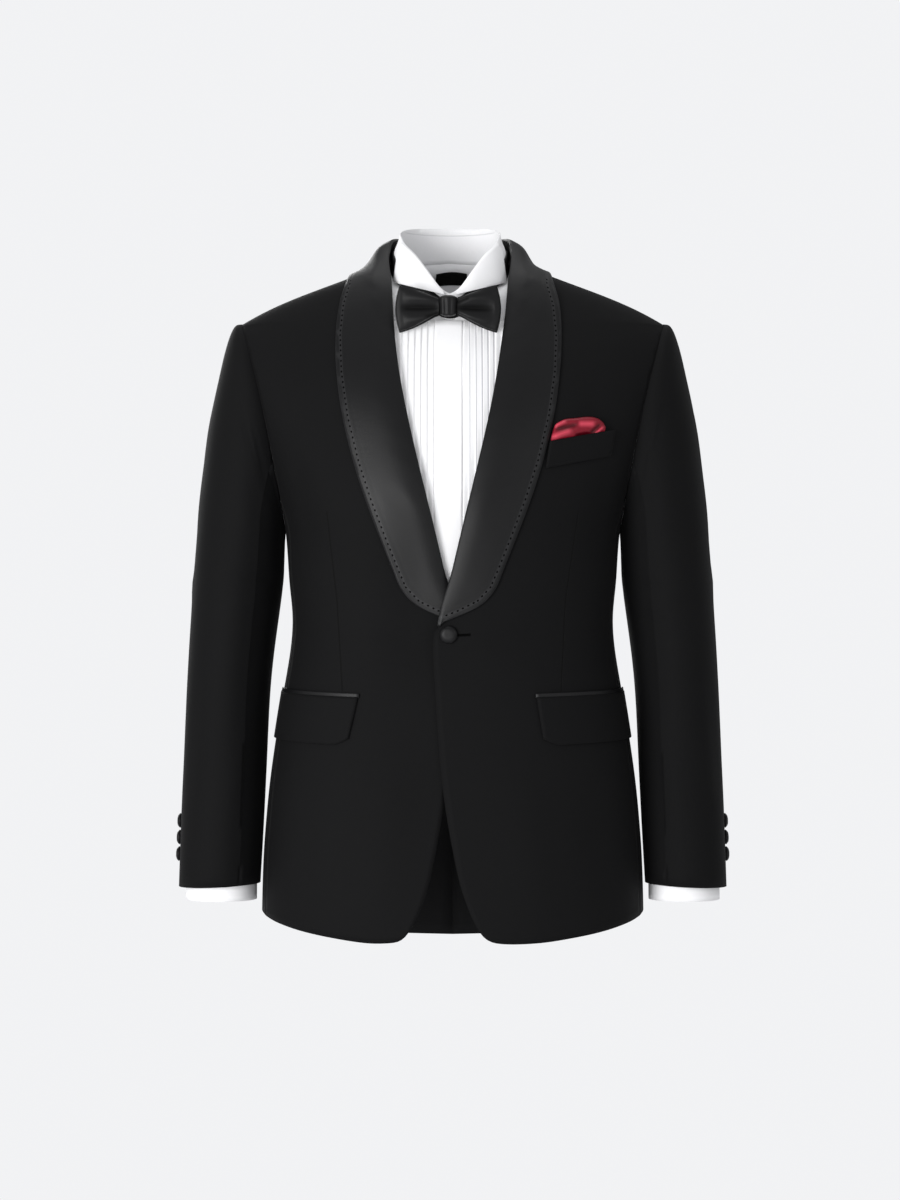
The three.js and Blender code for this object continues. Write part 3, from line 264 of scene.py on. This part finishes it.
def satinCloth(name, look):
    paint = Paint(name)
    threadX, threadZ = satinLook["threads"]
    threads = (paint.z * threadZ + paint.x * threadX).sine()
    streak = paint.noise(60, 3, (1.0, 1.0, 6.0))
    cloud = paint.noise(14, 2)
    color = paint.blend(cloud * 0.6 + streak * 0.3, look["dark"], look["light"])
    relief = threads * 0.12 + streak * 0.5
    roughness = look["roughness"]
    if look is satinLook["shawl"]:
        gap = paint.make("ShaderNodeAttribute", {"attribute_name": "edgeGap"}, output="Fac")
        relief = relief - gap.line(shawlEdge["stitchGap"], shawlEdge["groove"]) * 0.6
        relief = relief + gap.line(*shawlEdge["swell"]) * 0.3 - gap.line(*shawlEdge["dip"]) * 0.25
        # A lighter band of painted sheen lies along the sewn line
        band = gap.line(shawlEdge["stitchGap"], shawlEdge["band"])
        color = paint.blend(band, color, shawlEdge["sheenBandColor"])
    else:
        valley = bowShade(paint)
        color = paint.blend(valley, color, satinLook["valley"])
        roughness = roughness + valley * 0.4
    constants = {"Specular IOR Level": look["shine"], "Anisotropic": satinLook["anisotropic"]}
    return paint.finish(color, cloud * 0.06 + roughness, relief, satinLook["relief"], constants)


# The bib's pleats lie open towards the wearer's left, where their folds shade the cloth: the
# place across (m) and the depth of each. A sewn line runs round the back of the collar
cottonLook = {
    "dark": rgba(0.92, 0.92, 0.935), "light": rgba(0.96, 0.96, 0.97),
    "weave": 9000, "relief": 0.06 * mm, "shine": {"Specular IOR Level": 0.25},
    "pleats": [(0.0181, 0.8), (0.025, 0.9), (0.0315, 1.0), (0.0379, 1.0), (0.0443, 0.9)],
    "pleatWidth": 0.9 * mm, "pleatColor": rgba(0.3, 0.3, 0.33),
    "sewnHeight": 0.0505, "sewnWidth": 0.6 * mm, "sewnBehind": (0.02, 0.03),
    "sewnColor": rgba(0.55, 0.55, 0.58),
}


def cottonCloth(name, stitched=False, pleated=False):
    paint = Paint(name)
    weave = (paint.x * cottonLook["weave"]).sine() * (paint.z * cottonLook["weave"]).sine()
    slub = paint.noise(700, 2, (1.0, 1.0, 0.3))
    color = paint.blend(slub, cottonLook["dark"], cottonLook["light"])
    relief = weave * 0.1 + slub * 0.5
    if pleated:
        folds = 0
        for place, shade in cottonLook["pleats"]:
            folds = paint.x.line(place, cottonLook["pleatWidth"]) * shade + folds
        relief = relief - folds * 4
        color = paint.blend(folds * 0.8, color, cottonLook["pleatColor"])
    if stitched:
        line = paint.z.line(cottonLook["sewnHeight"], cottonLook["sewnWidth"])
        line = line * paint.y.above(*cottonLook["sewnBehind"])
        relief = relief - line * 5
        color = paint.blend(line * 0.35, color, cottonLook["sewnColor"])
    return paint.finish(color, 0.8 + slub * 0.1, relief, cottonLook["relief"], cottonLook["shine"])


# Folds of the pocket square. At its far end the puff turns under: a dark hollow behind a
# thin folded edge
silkFolds = [
    {"start": (104, -184), "end": (127, -175), "width": 3.0, "depth": 2.4},
    {"start": (109, -174.5), "end": (133, -169), "width": 2.6, "depth": -2.6, "soft": 1.4},
    {"start": (107, -171.5), "end": (121, -165), "width": 2.2, "depth": 1.6},
    {"start": (130, -181), "end": (148, -178), "width": 2.8, "depth": -2.2},
    {"start": (134, -168), "end": (152, -168), "width": 3.0, "depth": 1.4},
    {"start": (158.5, -167.5), "end": (147, -178), "width": 2.2, "depth": -2.8},
    {"start": (161.5, -170.5), "end": (150, -181), "width": 1.3, "depth": 1.1},
]


silkLook = {
    "dark": rgba(0.14, 0.002, 0.009), "light": rgba(0.27, 0.006, 0.022),
    # Colours painted along the folds: a painted highlight on each crest, painted shade in each hollow
    "crestHighlight": rgba(0.72, 0.07, 0.115), "hollow": rgba(0.035, 0.0005, 0.0025),
    "strokeWidth": 1.7, "relief": 0.1 * mm, "shine": {"Specular IOR Level": 0.3},
}


def redSilk():
    paint = Paint("redSilk")
    threads = (paint.x * 5200 + paint.z * 7000).sine()
    cloud = paint.noise(60, 2, (1.0, 1.0, 2.2))
    color = paint.blend(cloud, silkLook["dark"], silkLook["light"])
    # Each fold's line gets a painted highlight where it stands out and painted shade where it is pressed
    # in
    for fold in silkFolds:
        stroke = paint.stroke(fold["start"], fold["end"], fold["width"] * silkLook["strokeWidth"])
        if fold["depth"] > 0:
            color = paint.blend(stroke * 0.75, color, silkLook["crestHighlight"])
        else:
            color = paint.blend(stroke * 0.8, color, silkLook["hollow"])
    relief = threads * 0.15 + cloud * 0.3
    return paint.finish(color, 0.32 + cloud * 0.08, relief, silkLook["relief"], silkLook["shine"])


def plainThread(name, color, roughness):
    paint = Paint(name)
    twist = ((paint.x + paint.z + paint.y) * 12000).sine()
    fuzz = paint.noise(2500, 1)
    shade = paint.blend(fuzz, rgba(*[part * 0.6 for part in color]), rgba(*color))
    constants = {"Specular IOR Level": 0.08}
    return paint.finish(shade, roughness + fuzz * 0.1, twist + fuzz, 0.05 * mm, constants)


# Soft creases, pressed in or standing out by depth, each between two points (mm)
bodyCreases = {
    "front": [
        {"start": (30, -402), "end": (122, -384), "width": 12, "depth": -1.3},
        {"start": (24, -418), "end": (96, -436), "width": 14, "depth": 0.9},
        {"start": (-36, -398), "end": (-128, -376), "width": 13, "depth": -1.2},
        {"start": (-30, -420), "end": (-104, -440), "width": 12, "depth": 0.9},
        {"start": (172, -196), "end": (148, -318), "width": 17, "depth": -1.9},
        {"start": (-174, -190), "end": (-152, -300), "width": 15, "depth": -1.7},
        {"start": (146, -112), "end": (158, -178), "width": 14, "depth": -1.2},
        {"start": (-150, -100), "end": (-164, -170), "width": 13, "depth": -1.3},
        {"start": (70, -540), "end": (92, -700), "width": 24, "depth": 1.5},
        {"start": (-64, -530), "end": (-80, -706), "width": 22, "depth": 1.4},
        {"start": (148, -530), "end": (164, -690), "width": 20, "depth": -1.6},
        {"start": (-152, -536), "end": (-166, -700), "width": 18, "depth": -1.4},
    ],
    "back": [
        {"start": (168, -120), "end": (138, -300), "width": 20, "depth": -2.4},
        {"start": (-170, -132), "end": (-142, -286), "width": 18, "depth": -2.1},
        {"start": (18, -378), "end": (128, -362), "width": 12, "depth": -1.7},
        {"start": (-14, -384), "end": (-120, -372), "width": 13, "depth": -1.6},
        {"start": (26, -404), "end": (136, -398), "width": 13, "depth": 1.2},
        {"start": (-22, -408), "end": (-112, -400), "width": 11, "depth": 1.1},
        {"start": (90, -470), "end": (112, -710), "width": 26, "depth": 2.0},
        {"start": (-84, -480), "end": (-118, -716), "width": 24, "depth": 1.8},
        {"start": (40, -60), "end": (96, -76), "width": 15, "depth": -1.0},
        {"start": (-48, -56), "end": (-104, -80), "width": 14, "depth": -1.1},
    ],
}
# Round a sleeve: how far from its front line (mm, outwards), and the height
sleeveCreases = {
    "left": [
        {"start": (-44, -338), "end": (30, -360), "width": 9, "depth": -1.8},
        {"start": (-48, -372), "end": (18, -384), "width": 8, "depth": -1.3},
        {"start": (-40, -354), "end": (8, -368), "width": 8, "depth": 1.1},
        {"start": (70, -330), "end": (128, -352), "width": 14, "depth": 1.4},
        {"start": (30, -170), "end": (6, -318), "width": 16, "depth": -1.5},
        {"start": (86, -150), "end": (74, -290), "width": 18, "depth": 1.2},
        {"start": (36, -420), "end": (52, -580), "width": 14, "depth": -1.3},
        {"start": (-26, -470), "end": (-8, -600), "width": 12, "depth": 1.0},
        {"start": (110, -420), "end": (120, -560), "width": 15, "depth": -1.2},
    ],
    "right": [
        {"start": (-48, -330), "end": (24, -350), "width": 10, "depth": -1.7},
        {"start": (-44, -366), "end": (26, -378), "width": 9, "depth": -1.2},
        {"start": (-42, -348), "end": (10, -362), "width": 7, "depth": 1.0},
        {"start": (64, -338), "end": (132, -346), "width": 13, "depth": 1.3},
        {"start": (24, -180), "end": (10, -306), "width": 15, "depth": -1.4},
        {"start": (92, -140), "end": (78, -284), "width": 17, "depth": 1.3},
        {"start": (30, -430), "end": (46, -590), "width": 15, "depth": -1.2},
        {"start": (-22, -480), "end": (-10, -590), "width": 11, "depth": 0.9},
        {"start": (114, -430), "end": (118, -556), "width": 14, "depth": -1.1},
    ],
}
# Body and sleeves as the creases see them: half-widths and the stretch over which front and
# back fade into each other (m); mm of sleeve to a degree round its middle line
bodyRound = {"wide": 0.19, "deep": 0.13, "fade": 0.03}
sleeveRound = {"perDegree": 0.95, "least": 1 * mm}
# The armhole seen from the front (mm): creases die out on their way to its seam
armhole = {"foot": (183, -278), "top": (231, -53), "hollow": 5, "calmWithin": 24}
armLine = [(207, 0, -165), (237, 1, -340), (248, -4, -527), (256, -17, -667)]


def creaseLift(creases, across, height):
    lift = 0.0
    for crease in creases:
        fromX, fromZ = crease["start"]
        runX = crease["end"][0] - fromX
        runZ = crease["end"][1] - fromZ
        share = ((across - fromX) * runX + (height - fromZ) * runZ) / (runX**2 + runZ**2)
        share = min(max(share, 0.0), 1.0)
        away = math.hypot(across - fromX - share * runX, height - fromZ - share * runZ)
        if away < 3 * crease["width"]:
            ends = 1 - abs(2 * share - 1) ** 3
            fade = math.exp(-((away / crease["width"]) ** crease.get("soft", 2)))
            lift += crease["depth"] * ends * fade
    return lift * mm


def awayFromArmhole(place):
    footX, footZ = armhole["foot"]
    topX, topZ = armhole["top"]
    nearZ = min(max(place.z / mm, footZ), topZ)
    share = (nearZ - footZ) / (topZ - footZ)
    seamX = footX + (topX - footX) * share - armhole["hollow"] * (1 - (2 * share - 1) ** 2)
    away = math.hypot(abs(place.x / mm) - seamX, place.z / mm - nearZ)
    return min(away / armhole["calmWithin"], 1.0)


def bodyLift(place):
    outward = Vector((place.x / bodyRound["wide"] ** 2, place.y / bodyRound["deep"] ** 2, 0))
    outward.normalize()
    creases = bodyCreases["front" if place.y < 0 else "back"]
    calm = min(abs(place.y) / bodyRound["fade"], 1.0) * awayFromArmhole(place)
    return outward * calm * creaseLift(creases, place.x / mm, place.z / mm)


def armMiddle(height):
    row = 1
    while row < len(armLine) - 1 and height < armLine[row][2]:
        row += 1
    upper, lower = armLine[row - 1], armLine[row]
    share = (height - upper[2]) / (lower[2] - upper[2])
    return Vector(upper).lerp(Vector(lower), share) * mm


def sleeveLift(place, side):
    middle = armMiddle(place.z / mm)
    outX = place.x * side - middle.x
    outY = place.y - middle.y
    reach = math.hypot(outX, outY)
    if reach < sleeveRound["least"]:
        return noLift(place)
    turn = math.atan2(outX, -outY)
    creases = sleeveCreases["left" if side > 0 else "right"]
    across = math.degrees(turn) * sleeveRound["perDegree"]
    lift = awayFromArmhole(place) * creaseLift(creases, across, place.z / mm)
    return Vector((outX * side, outY, 0)) * (lift / reach)


def leftSleeveLift(place):
    return sleeveLift(place, 1)


def rightSleeveLift(place):
    return sleeveLift(place, -1)


def bowLift(place):
    across = place.x / mm - bowFolds["middle"]
    creases = bowFolds["left" if across > 0 else "right"]
    return Vector((0, -1, 0)) * creaseLift(creases, abs(across), place.z / mm)


def knotLift(place):
    across = place.x / mm - bowFolds["middle"]
    return Vector((0, -1, 0)) * creaseLift(bowFolds["knot"], across, place.z / mm)


def silkLift(place):
    return Vector((0, -1, 0)) * creaseLift(silkFolds, place.x / mm, place.z / mm)


# The shirt's collar and the tie's band fill out sideways under the shawl
collarFill = {
    "middle": -3, "out": 3.5, "narrow": 30, "wide": 56, "low": -22, "full": (-6, 26), "high": 42,
}


def collarLift(place):
    across = place.x / mm - collarFill["middle"]
    height = place.z / mm
    aside = (abs(across) - collarFill["narrow"]) / (collarFill["wide"] - collarFill["narrow"])
    aside = min(max(aside, 0), 1)
    lowFull, highFull = collarFill["full"]
    if height < lowFull:
        share = max((height - collarFill["low"]) / (lowFull - collarFill["low"]), 0)
    else:
        share = min(max((collarFill["high"] - height) / (collarFill["high"] - highFull), 0), 1)
    push = aside**2 * (3 - 2 * aside) * share**2 * (3 - 2 * share)
    return Vector((math.copysign(push * collarFill["out"] * mm, across), 0, 0))


def noLift(place):
    return Vector((0, 0, 0))


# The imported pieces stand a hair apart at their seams: sewn cloth meets, so each cut edge
# is let out by this much. A cut edge is a strip no wider than a wall.
seams = {
    "letOut": 0.32 * mm, "woolLetOut": 0.55 * mm, "widestEdge": 2.3 * mm,
    "backReach": 2.6 * mm, "behind": 20 * mm,
}


def closeSeams(work, rims, letOut):
    push = {}
    for face in work.faces:
        sharp = [edge for edge in face.edges if edge[rims] > 0]
        longest = max(edge.calc_length() for edge in face.edges)
        if len(sharp) >= 2 and face.calc_area() / longest < seams["widestEdge"]:
            for vert in face.verts:
                push.setdefault(vert, []).append(face.normal.copy())
    for vert, normals in push.items():
        outward = sum(normals, Vector())
        if outward.length > 0.1:
            vert.co += outward.normalized() * letOut


# The shawl's halves meet at the centre back, all through their fold
def meetAtBack(work):
    for vert in work.verts:
        if abs(vert.co.x) < seams["backReach"] and vert.co.y > seams["behind"]:
            vert.co.x = 0


# How a piece's faces are joined and its cloth's sharp edges kept (degrees)
makeUp = {"flatter": 35, "squarer": 60, "cut": 52, "sharp": 48, "weld": 0.01 * mm, "rounds": 2}


def smoothed(piece):
    piece.data.update()
    bpy.context.view_layer.update()
    shaped = piece.evaluated_get(bpy.context.evaluated_depsgraph_get())
    return bpy.data.meshes.new_from_object(shaped)


# A piece of cloth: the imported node's own form, made smooth, with its creases pressed in
def sewn(node, style):
    work = bmesh.new()
    work.from_mesh(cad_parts[node].data)
    bmesh.ops.remove_doubles(work, verts=work.verts, dist=makeUp["weld"])
    bmesh.ops.join_triangles(
        work,
        faces=work.faces,
        angle_face_threshold=math.radians(makeUp["flatter"]),
        angle_shape_threshold=math.radians(makeUp["squarer"]),
    )
    rims = work.edges.layers.float.new("crease_edge")
    for edge in work.edges:
        if len(edge.link_faces) == 2 and edge.calc_face_angle() > math.radians(makeUp["cut"]):
            edge[rims] = 1.0
    closeSeams(work, rims, seams["woolLetOut" if style["slot"] == "wool" else "letOut"])
    if node.startswith("shawl"):
        meetAtBack(work)
    name = "".join(word.capitalize() if k else word for k, word in enumerate(node.split("_")))
    piece = bpy.data.objects.new(name, bpy.data.meshes.new(name))
    work.to_mesh(piece.data)
    work.free()
    bpy.context.scene.collection.objects.link(piece)
    smoother = piece.modifiers.new("smooth", "SUBSURF")
    smoother.levels = style["levels"]
    smoother.render_levels = style["levels"]
    goal = [vert.co.copy() for vert in piece.data.vertices]
    # Smoothing draws a form in: let the cage out until it runs through its points
    for _ in range(makeUp["rounds"]):
        for vert, held, want in zip(piece.data.vertices, smoothed(piece).vertices, goal):
            vert.co += want - held.co
    piece.data = smoothed(piece)
    piece.modifiers.clear()
    for vert in piece.data.vertices:
        vert.co += style["lift"](vert.co)
    piece.data.materials.clear()
    piece.data.materials.append(style["finish"])
    piece.data.shade_smooth()
    piece.data.set_sharp_from_angle(angle=math.radians(makeUp["sharp"]))
    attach(piece, "root")
    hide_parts(node)
    return piece


wool = woolCloth()
satin = satinCloth("blackSatin", satinLook["shawl"])
bowSatin = satinCloth("bowSatin", satinLook["bow"])
cotton = cottonCloth("whiteCotton")
collarCotton = cottonCloth("stitchedCotton", stitched=True)
bibCotton = cottonCloth("pleatedCotton", pleated=True)
silk = redSilk()
ribbon = plainThread("labelRibbon", (0.006, 0.006, 0.006), 0.6)
stitchThread = plainThread("stitchThread", (0.0007, 0.0007, 0.0007), 0.9)
print("finishes made")

# How each cut piece is made up: its node, the flat cloth it was cut from (m), and its area
woolPiece = {"finish": wool, "slot": "wool", "lift": bodyLift, "levels": 2, "held": "hung"}
satinPiece = {**woolPiece, "finish": satin, "slot": "satin"}
shirtPiece = {"finish": cotton, "slot": "cotton", "lift": noLift, "levels": 1, "held": "hung"}
bowPiece = {"finish": bowSatin, "slot": "bow_satin", "lift": bowLift, "levels": 3, "held": "folded"}

pairs = {
    "jacket_front": {**woolPiece, "flat": (0.42, 0.8), "area": 0.152},
    "jacket_side": {**woolPiece, "flat": (0.11, 0.48)},
    "jacket_back": {**woolPiece, "flat": (0.27, 0.78), "area": 0.165},
    "sleeve_top": {**woolPiece, "flat": (0.21, 0.64), "area": 0.102, "lift": None},
    "sleeve_under": {**woolPiece, "flat": (0.17, 0.51), "area": 0.077, "lift": None},
    "shawl": {**satinPiece, "flat": (0.11, 0.75), "area": 0.0425, "held": "folded"},
    "pocket_jet": {**satinPiece, "flat": (0.01, 0.15), "area": 0.001, "held": "folded"},
    "pocket_flap": {**woolPiece, "flat": (0.15, 0.055)},
    "shirt_front": {**shirtPiece, "flat": (0.27, 0.56), "area": 0.125},
    "shirt_bib": {
        **shirtPiece, "finish": bibCotton, "flat": (0.074, 0.298), "levels": 2, "held": "folded",
    },
    "shirt_sleeve": {**shirtPiece, "flat": (0.36, 0.57), "area": 0.145},
    "shirt_cuff": {**shirtPiece, "flat": (0.23, 0.062), "levels": 2},
    "collar_wing": {
        **shirtPiece, "flat": (0.055, 0.06), "area": 0.0019, "levels": 2, "lift": collarLift,
        "held": "folded",
    },
    "bow_wing": {**bowPiece, "flat": (0.047, 0.047), "area": 0.002},
    "bow_back": {**bowPiece, "flat": (0.047, 0.047), "area": 0.0018, "lift": noLift, "levels": 2},
}
singles = {
    "chest_welt": {**woolPiece, "flat": (0.075, 0.03), "held": "folded"},
    "pocket_square": {
        "finish": silk, "slot": "silk", "lift": silkLift, "levels": 3, "held": "folded",
        "flat": (0.06, 0.03), "area": 0.0015,
    },
    "shirt_back": {**shirtPiece, "flat": (0.56, 0.58), "area": 0.25},
    "shirt_placket": {**shirtPiece, "flat": (0.031, 0.3), "levels": 2, "held": "folded"},
    "shirt_collar": {
        **shirtPiece, "flat": (0.37, 0.045), "levels": 2, "lift": collarLift, "finish": collarCotton,
    },
    "neck_label": {
        "finish": ribbon, "slot": "ribbon", "lift": noLift, "levels": 2, "held": "laid",
        "flat": (0.038, 0.013),
    },
    "tie_band": {**bowPiece, "flat": (0.38, 0.022), "lift": collarLift, "levels": 2},
    "bow_knot": {**bowPiece, "flat": (0.03, 0.024), "lift": knotLift},
    "front_button": {**satinPiece, "levels": 2},
}
sides = {"left": {"sign": 1, "lift": leftSleeveLift}, "right": {"sign": -1, "lift": rightSleeveLift}}
pieces = {}
for sideName, side in sides.items():
    for stem, style in pairs.items():
        lift = style["lift"] or side["lift"]
        pieces[f"{stem}_{sideName}"] = sewn(f"{stem}_{sideName}", {**style, "lift": lift})
    for number in (1, 2, 3):
        button = f"sleeve_button_{sideName}_{number}"
        pieces[button] = sewn(button, {**satinPiece, "lift": side["lift"]})
for node, style in singles.items():
    pieces[node] = sewn(node, style)
print("cloth pieces made:", len(pieces))

for node, piece in pieces.items():
    stem = node.rsplit("_", 1)[0] if node not in singles else node
    style = pairs.get(stem) or singles.get(stem)
    style and "flat" in style


# Points on the cloth along one half's outer edge, from its foot up and round the neck
def edgeRun(tree, sign):
    run = []
    steps = shawlEdge["steps"]
    chest = shawlEdge["chest"]
    for (fromHalf, fromZ), (toHalf, toZ) in zip(chest, chest[1:]):
        for step in range(steps):
            share = step / steps
            along = Vector((toHalf - fromHalf, 0, toZ - fromZ)).normalized() * shawlEdge["probeIn"]
            half = fromHalf + (toHalf - fromHalf) * share - along.z
            height = fromZ + (toZ - fromZ) * share + along.x
            aim = Vector(((shawlEdge["closing"] + sign * half) * mm, castFrom, height * mm))
            place = tree.ray_cast(aim, Vector((0, 1, 0)))[0]
            if place is not None and place.y < 0:
                run.append(place)
    lastHalf, lastZ = chest[-1]
    corners = [(shawlEdge["closing"] + sign * lastHalf, run[-1].y / mm, lastZ)]
    corners += [(shawlEdge["neckMiddle"] + sign * x, y, z) for x, y, z in shawlEdge["neck"]]
    above = Vector((0, 0, shawlEdge["probeAbove"] * mm))
    for start, end in zip(corners, corners[1:]):
        for step in range(steps):
            near = Vector(start).lerp(Vector(end), step / steps) * mm
            run.append(tree.find_nearest(near + above)[0])
    return run


# A stitch: a small flat bead of thread that lies on the cloth
def bead(work, place, facing, along, size):
    ahead = (along - facing * along.dot(facing)).normalized()
    turn = Matrix((ahead, facing.cross(ahead), facing)).transposed().to_4x4()
    matrix = Matrix.Translation(place) @ turn @ Matrix.Diagonal((*[part * mm for part in size], 1))
    return bmesh.ops.create_uvsphere(work, u_segments=8, v_segments=5, radius=1.0, matrix=matrix)


def pickStitches(shawlPiece, sign):
    tree = BVHTree.FromObject(shawlPiece, bpy.context.evaluated_depsgraph_get())
    run = edgeRun(tree, sign)
    layer = shawlPiece.data.attributes.new("edgeGap", "FLOAT", "POINT")
    for vert in shawlPiece.data.vertices:
        gaps = []
        for start, end in zip(run, run[1:]):
            along = end - start
            share = min(max((vert.co - start).dot(along) / max(along.length_squared, 1e-12), 0), 1)
            gaps.append((vert.co - start - along * share).length)
        layer.data[vert.index].value = min(gaps) / mm
    work = bmesh.new()
    work.from_mesh(shawlPiece.data)
    pitch = shawlEdge["stitchPitch"] * mm
    left = pitch
    for start, end in zip(run, run[1:]):
        along = end - start
        covered = 0.0
        while along.length - covered >= left:
            covered += left
            left = pitch
            spot = start + along.normalized() * covered
            facing = tree.find_nearest(spot)[1]
            inward = facing.cross(along.normalized()) * sign
            place, facing, _, _ = tree.find_nearest(spot + inward * shawlEdge["stitchGap"] * mm)
            made = bead(work, place, facing, along, shawlEdge["stitchSize"])
            for face in {face for vert in made["verts"] for face in vert.link_faces}:
                face.material_index = 1
                face.smooth = True
        left -= along.length - covered
    work.to_mesh(shawlPiece.data)
    work.free()
    shawlPiece.data.materials.append(stitchThread)


for sideName, side in sides.items():
    pickStitches(pieces[f"shawl_{sideName}"], side["sign"])
print("pick stitches sewn")


# The worked buttonhole beside the button, on the left front: a row of upright bars (mm)
buttonhole = {
    "from": 5.6, "to": 18.4, "height": -393.4, "drop": 0.6, "bars": 17, "bar": (0.5, 1.7, 0.35),
}


def workedButtonhole():
    tree = BVHTree.FromObject(pieces["jacket_front_left"], bpy.context.evaluated_depsgraph_get())
    work = bmesh.new()
    for bar in range(buttonhole["bars"]):
        share = bar / (buttonhole["bars"] - 1)
        across = buttonhole["from"] + (buttonhole["to"] - buttonhole["from"]) * share
        height = buttonhole["height"] + buttonhole["drop"] * share
        aim = Vector((across * mm, castFrom, height * mm))
        place, facing, _, _ = tree.ray_cast(aim, Vector((0, 1, 0)))
        bead(work, place, facing, Vector((1, 0, 0)), buttonhole["bar"])
    hole = bpy.data.objects.new("buttonhole", bpy.data.meshes.new("buttonhole"))
    work.to_mesh(hole.data)
    work.free()
    hole.data.shade_smooth()
    hole.data.materials.append(stitchThread)
    bpy.context.scene.collection.objects.link(hole)
    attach(hole, "root")


workedButtonhole()


# Studio: a pale floor well below the hem, pale air, and soft boxes
studio = {
    "floorDrop": -1.47, "floorReach": 1.9, "floorSegments": 96,
    "floor": (rgba(0.84, 0.84, 0.85), rgba(0.88, 0.88, 0.89)),
    "air": rgba(0.885, 0.89, 0.905), "fillAir": 0.5,
    "boxes": [
        {"name": "key", "place": (-2.3, -2.9, -0.2), "aim": (0, 0, -0.3), "size": (1.6, 2.2), "power": 94},
        {"name": "side", "place": (2.6, -2.4, 0.4), "aim": (0, 0, -0.3), "size": (0.8, 2.4), "power": 9},
        {"name": "front", "place": (-0.6, -4, -1.1), "aim": (0, 0, -0.3), "size": (2.6, 1.8), "power": 30},
        {"name": "top", "place": (0, 0.2, 2.1), "aim": (0, 0, 0), "size": (2.0, 1.6), "power": 14},
        {"name": "back", "place": (-1.2, 3.0, 0.8), "aim": (0, 0, -0.3), "size": (1.8, 1.8), "power": 40},
    ],
}


def buildStudio():
    paint = Paint("paleFloor")
    grain = paint.noise(30, 2)
    color = paint.blend(grain, *studio["floor"])
    work = bmesh.new()
    bmesh.ops.create_circle(
        work,
        cap_ends=True,
        segments=studio["floorSegments"],
        radius=studio["floorReach"],
        matrix=Matrix.Translation((0, 0, studio["floorDrop"])),
    )
    floor = bpy.data.objects.new("floor", bpy.data.meshes.new("floor"))
    work.to_mesh(floor.data)
    work.free()
    floor.data.materials.append(paint.finish(color, 0.8, grain, 0.2 * mm, {}))
    bpy.context.scene.collection.objects.link(floor)

    for box in studio["boxes"]:
        light = bpy.data.lights.new(box["name"], "AREA")
        light.shape = "RECTANGLE"
        light.size, light.size_y = box["size"]
        light.energy = box["power"]
        lamp = bpy.data.objects.new(box["name"], light)
        lamp.location = box["place"]
        aim = Vector(box["aim"]) - Vector(box["place"])
        lamp.rotation_euler = aim.to_track_quat("-Z", "Y").to_euler()
        bpy.context.scene.collection.objects.link(lamp)

    world = bpy.data.worlds.new("studioAir")
    world.use_nodes = True
    bpy.context.scene.world = world
    nodes = world.node_tree.nodes
    links = world.node_tree.links
    nodes.clear()
    seen = nodes.new("ShaderNodeBackground")
    seen.inputs["Color"].default_value = studio["air"]
    fill = nodes.new("ShaderNodeBackground")
    fill.inputs["Color"].default_value = studio["air"]
    fill.inputs["Strength"].default_value = studio["fillAir"]
    path = nodes.new("ShaderNodeLightPath")
    mix = nodes.new("ShaderNodeMixShader")
    links.new(path.outputs["Is Camera Ray"], mix.inputs[0])
    links.new(fill.outputs[0], mix.inputs[1])
    links.new(seen.outputs[0], mix.inputs[2])
    links.new(mix.outputs[0], nodes.new("ShaderNodeOutputWorld").inputs[0])
    bpy.context.scene.view_settings.view_transform = "Standard"


buildStudio()
print("studio lit")
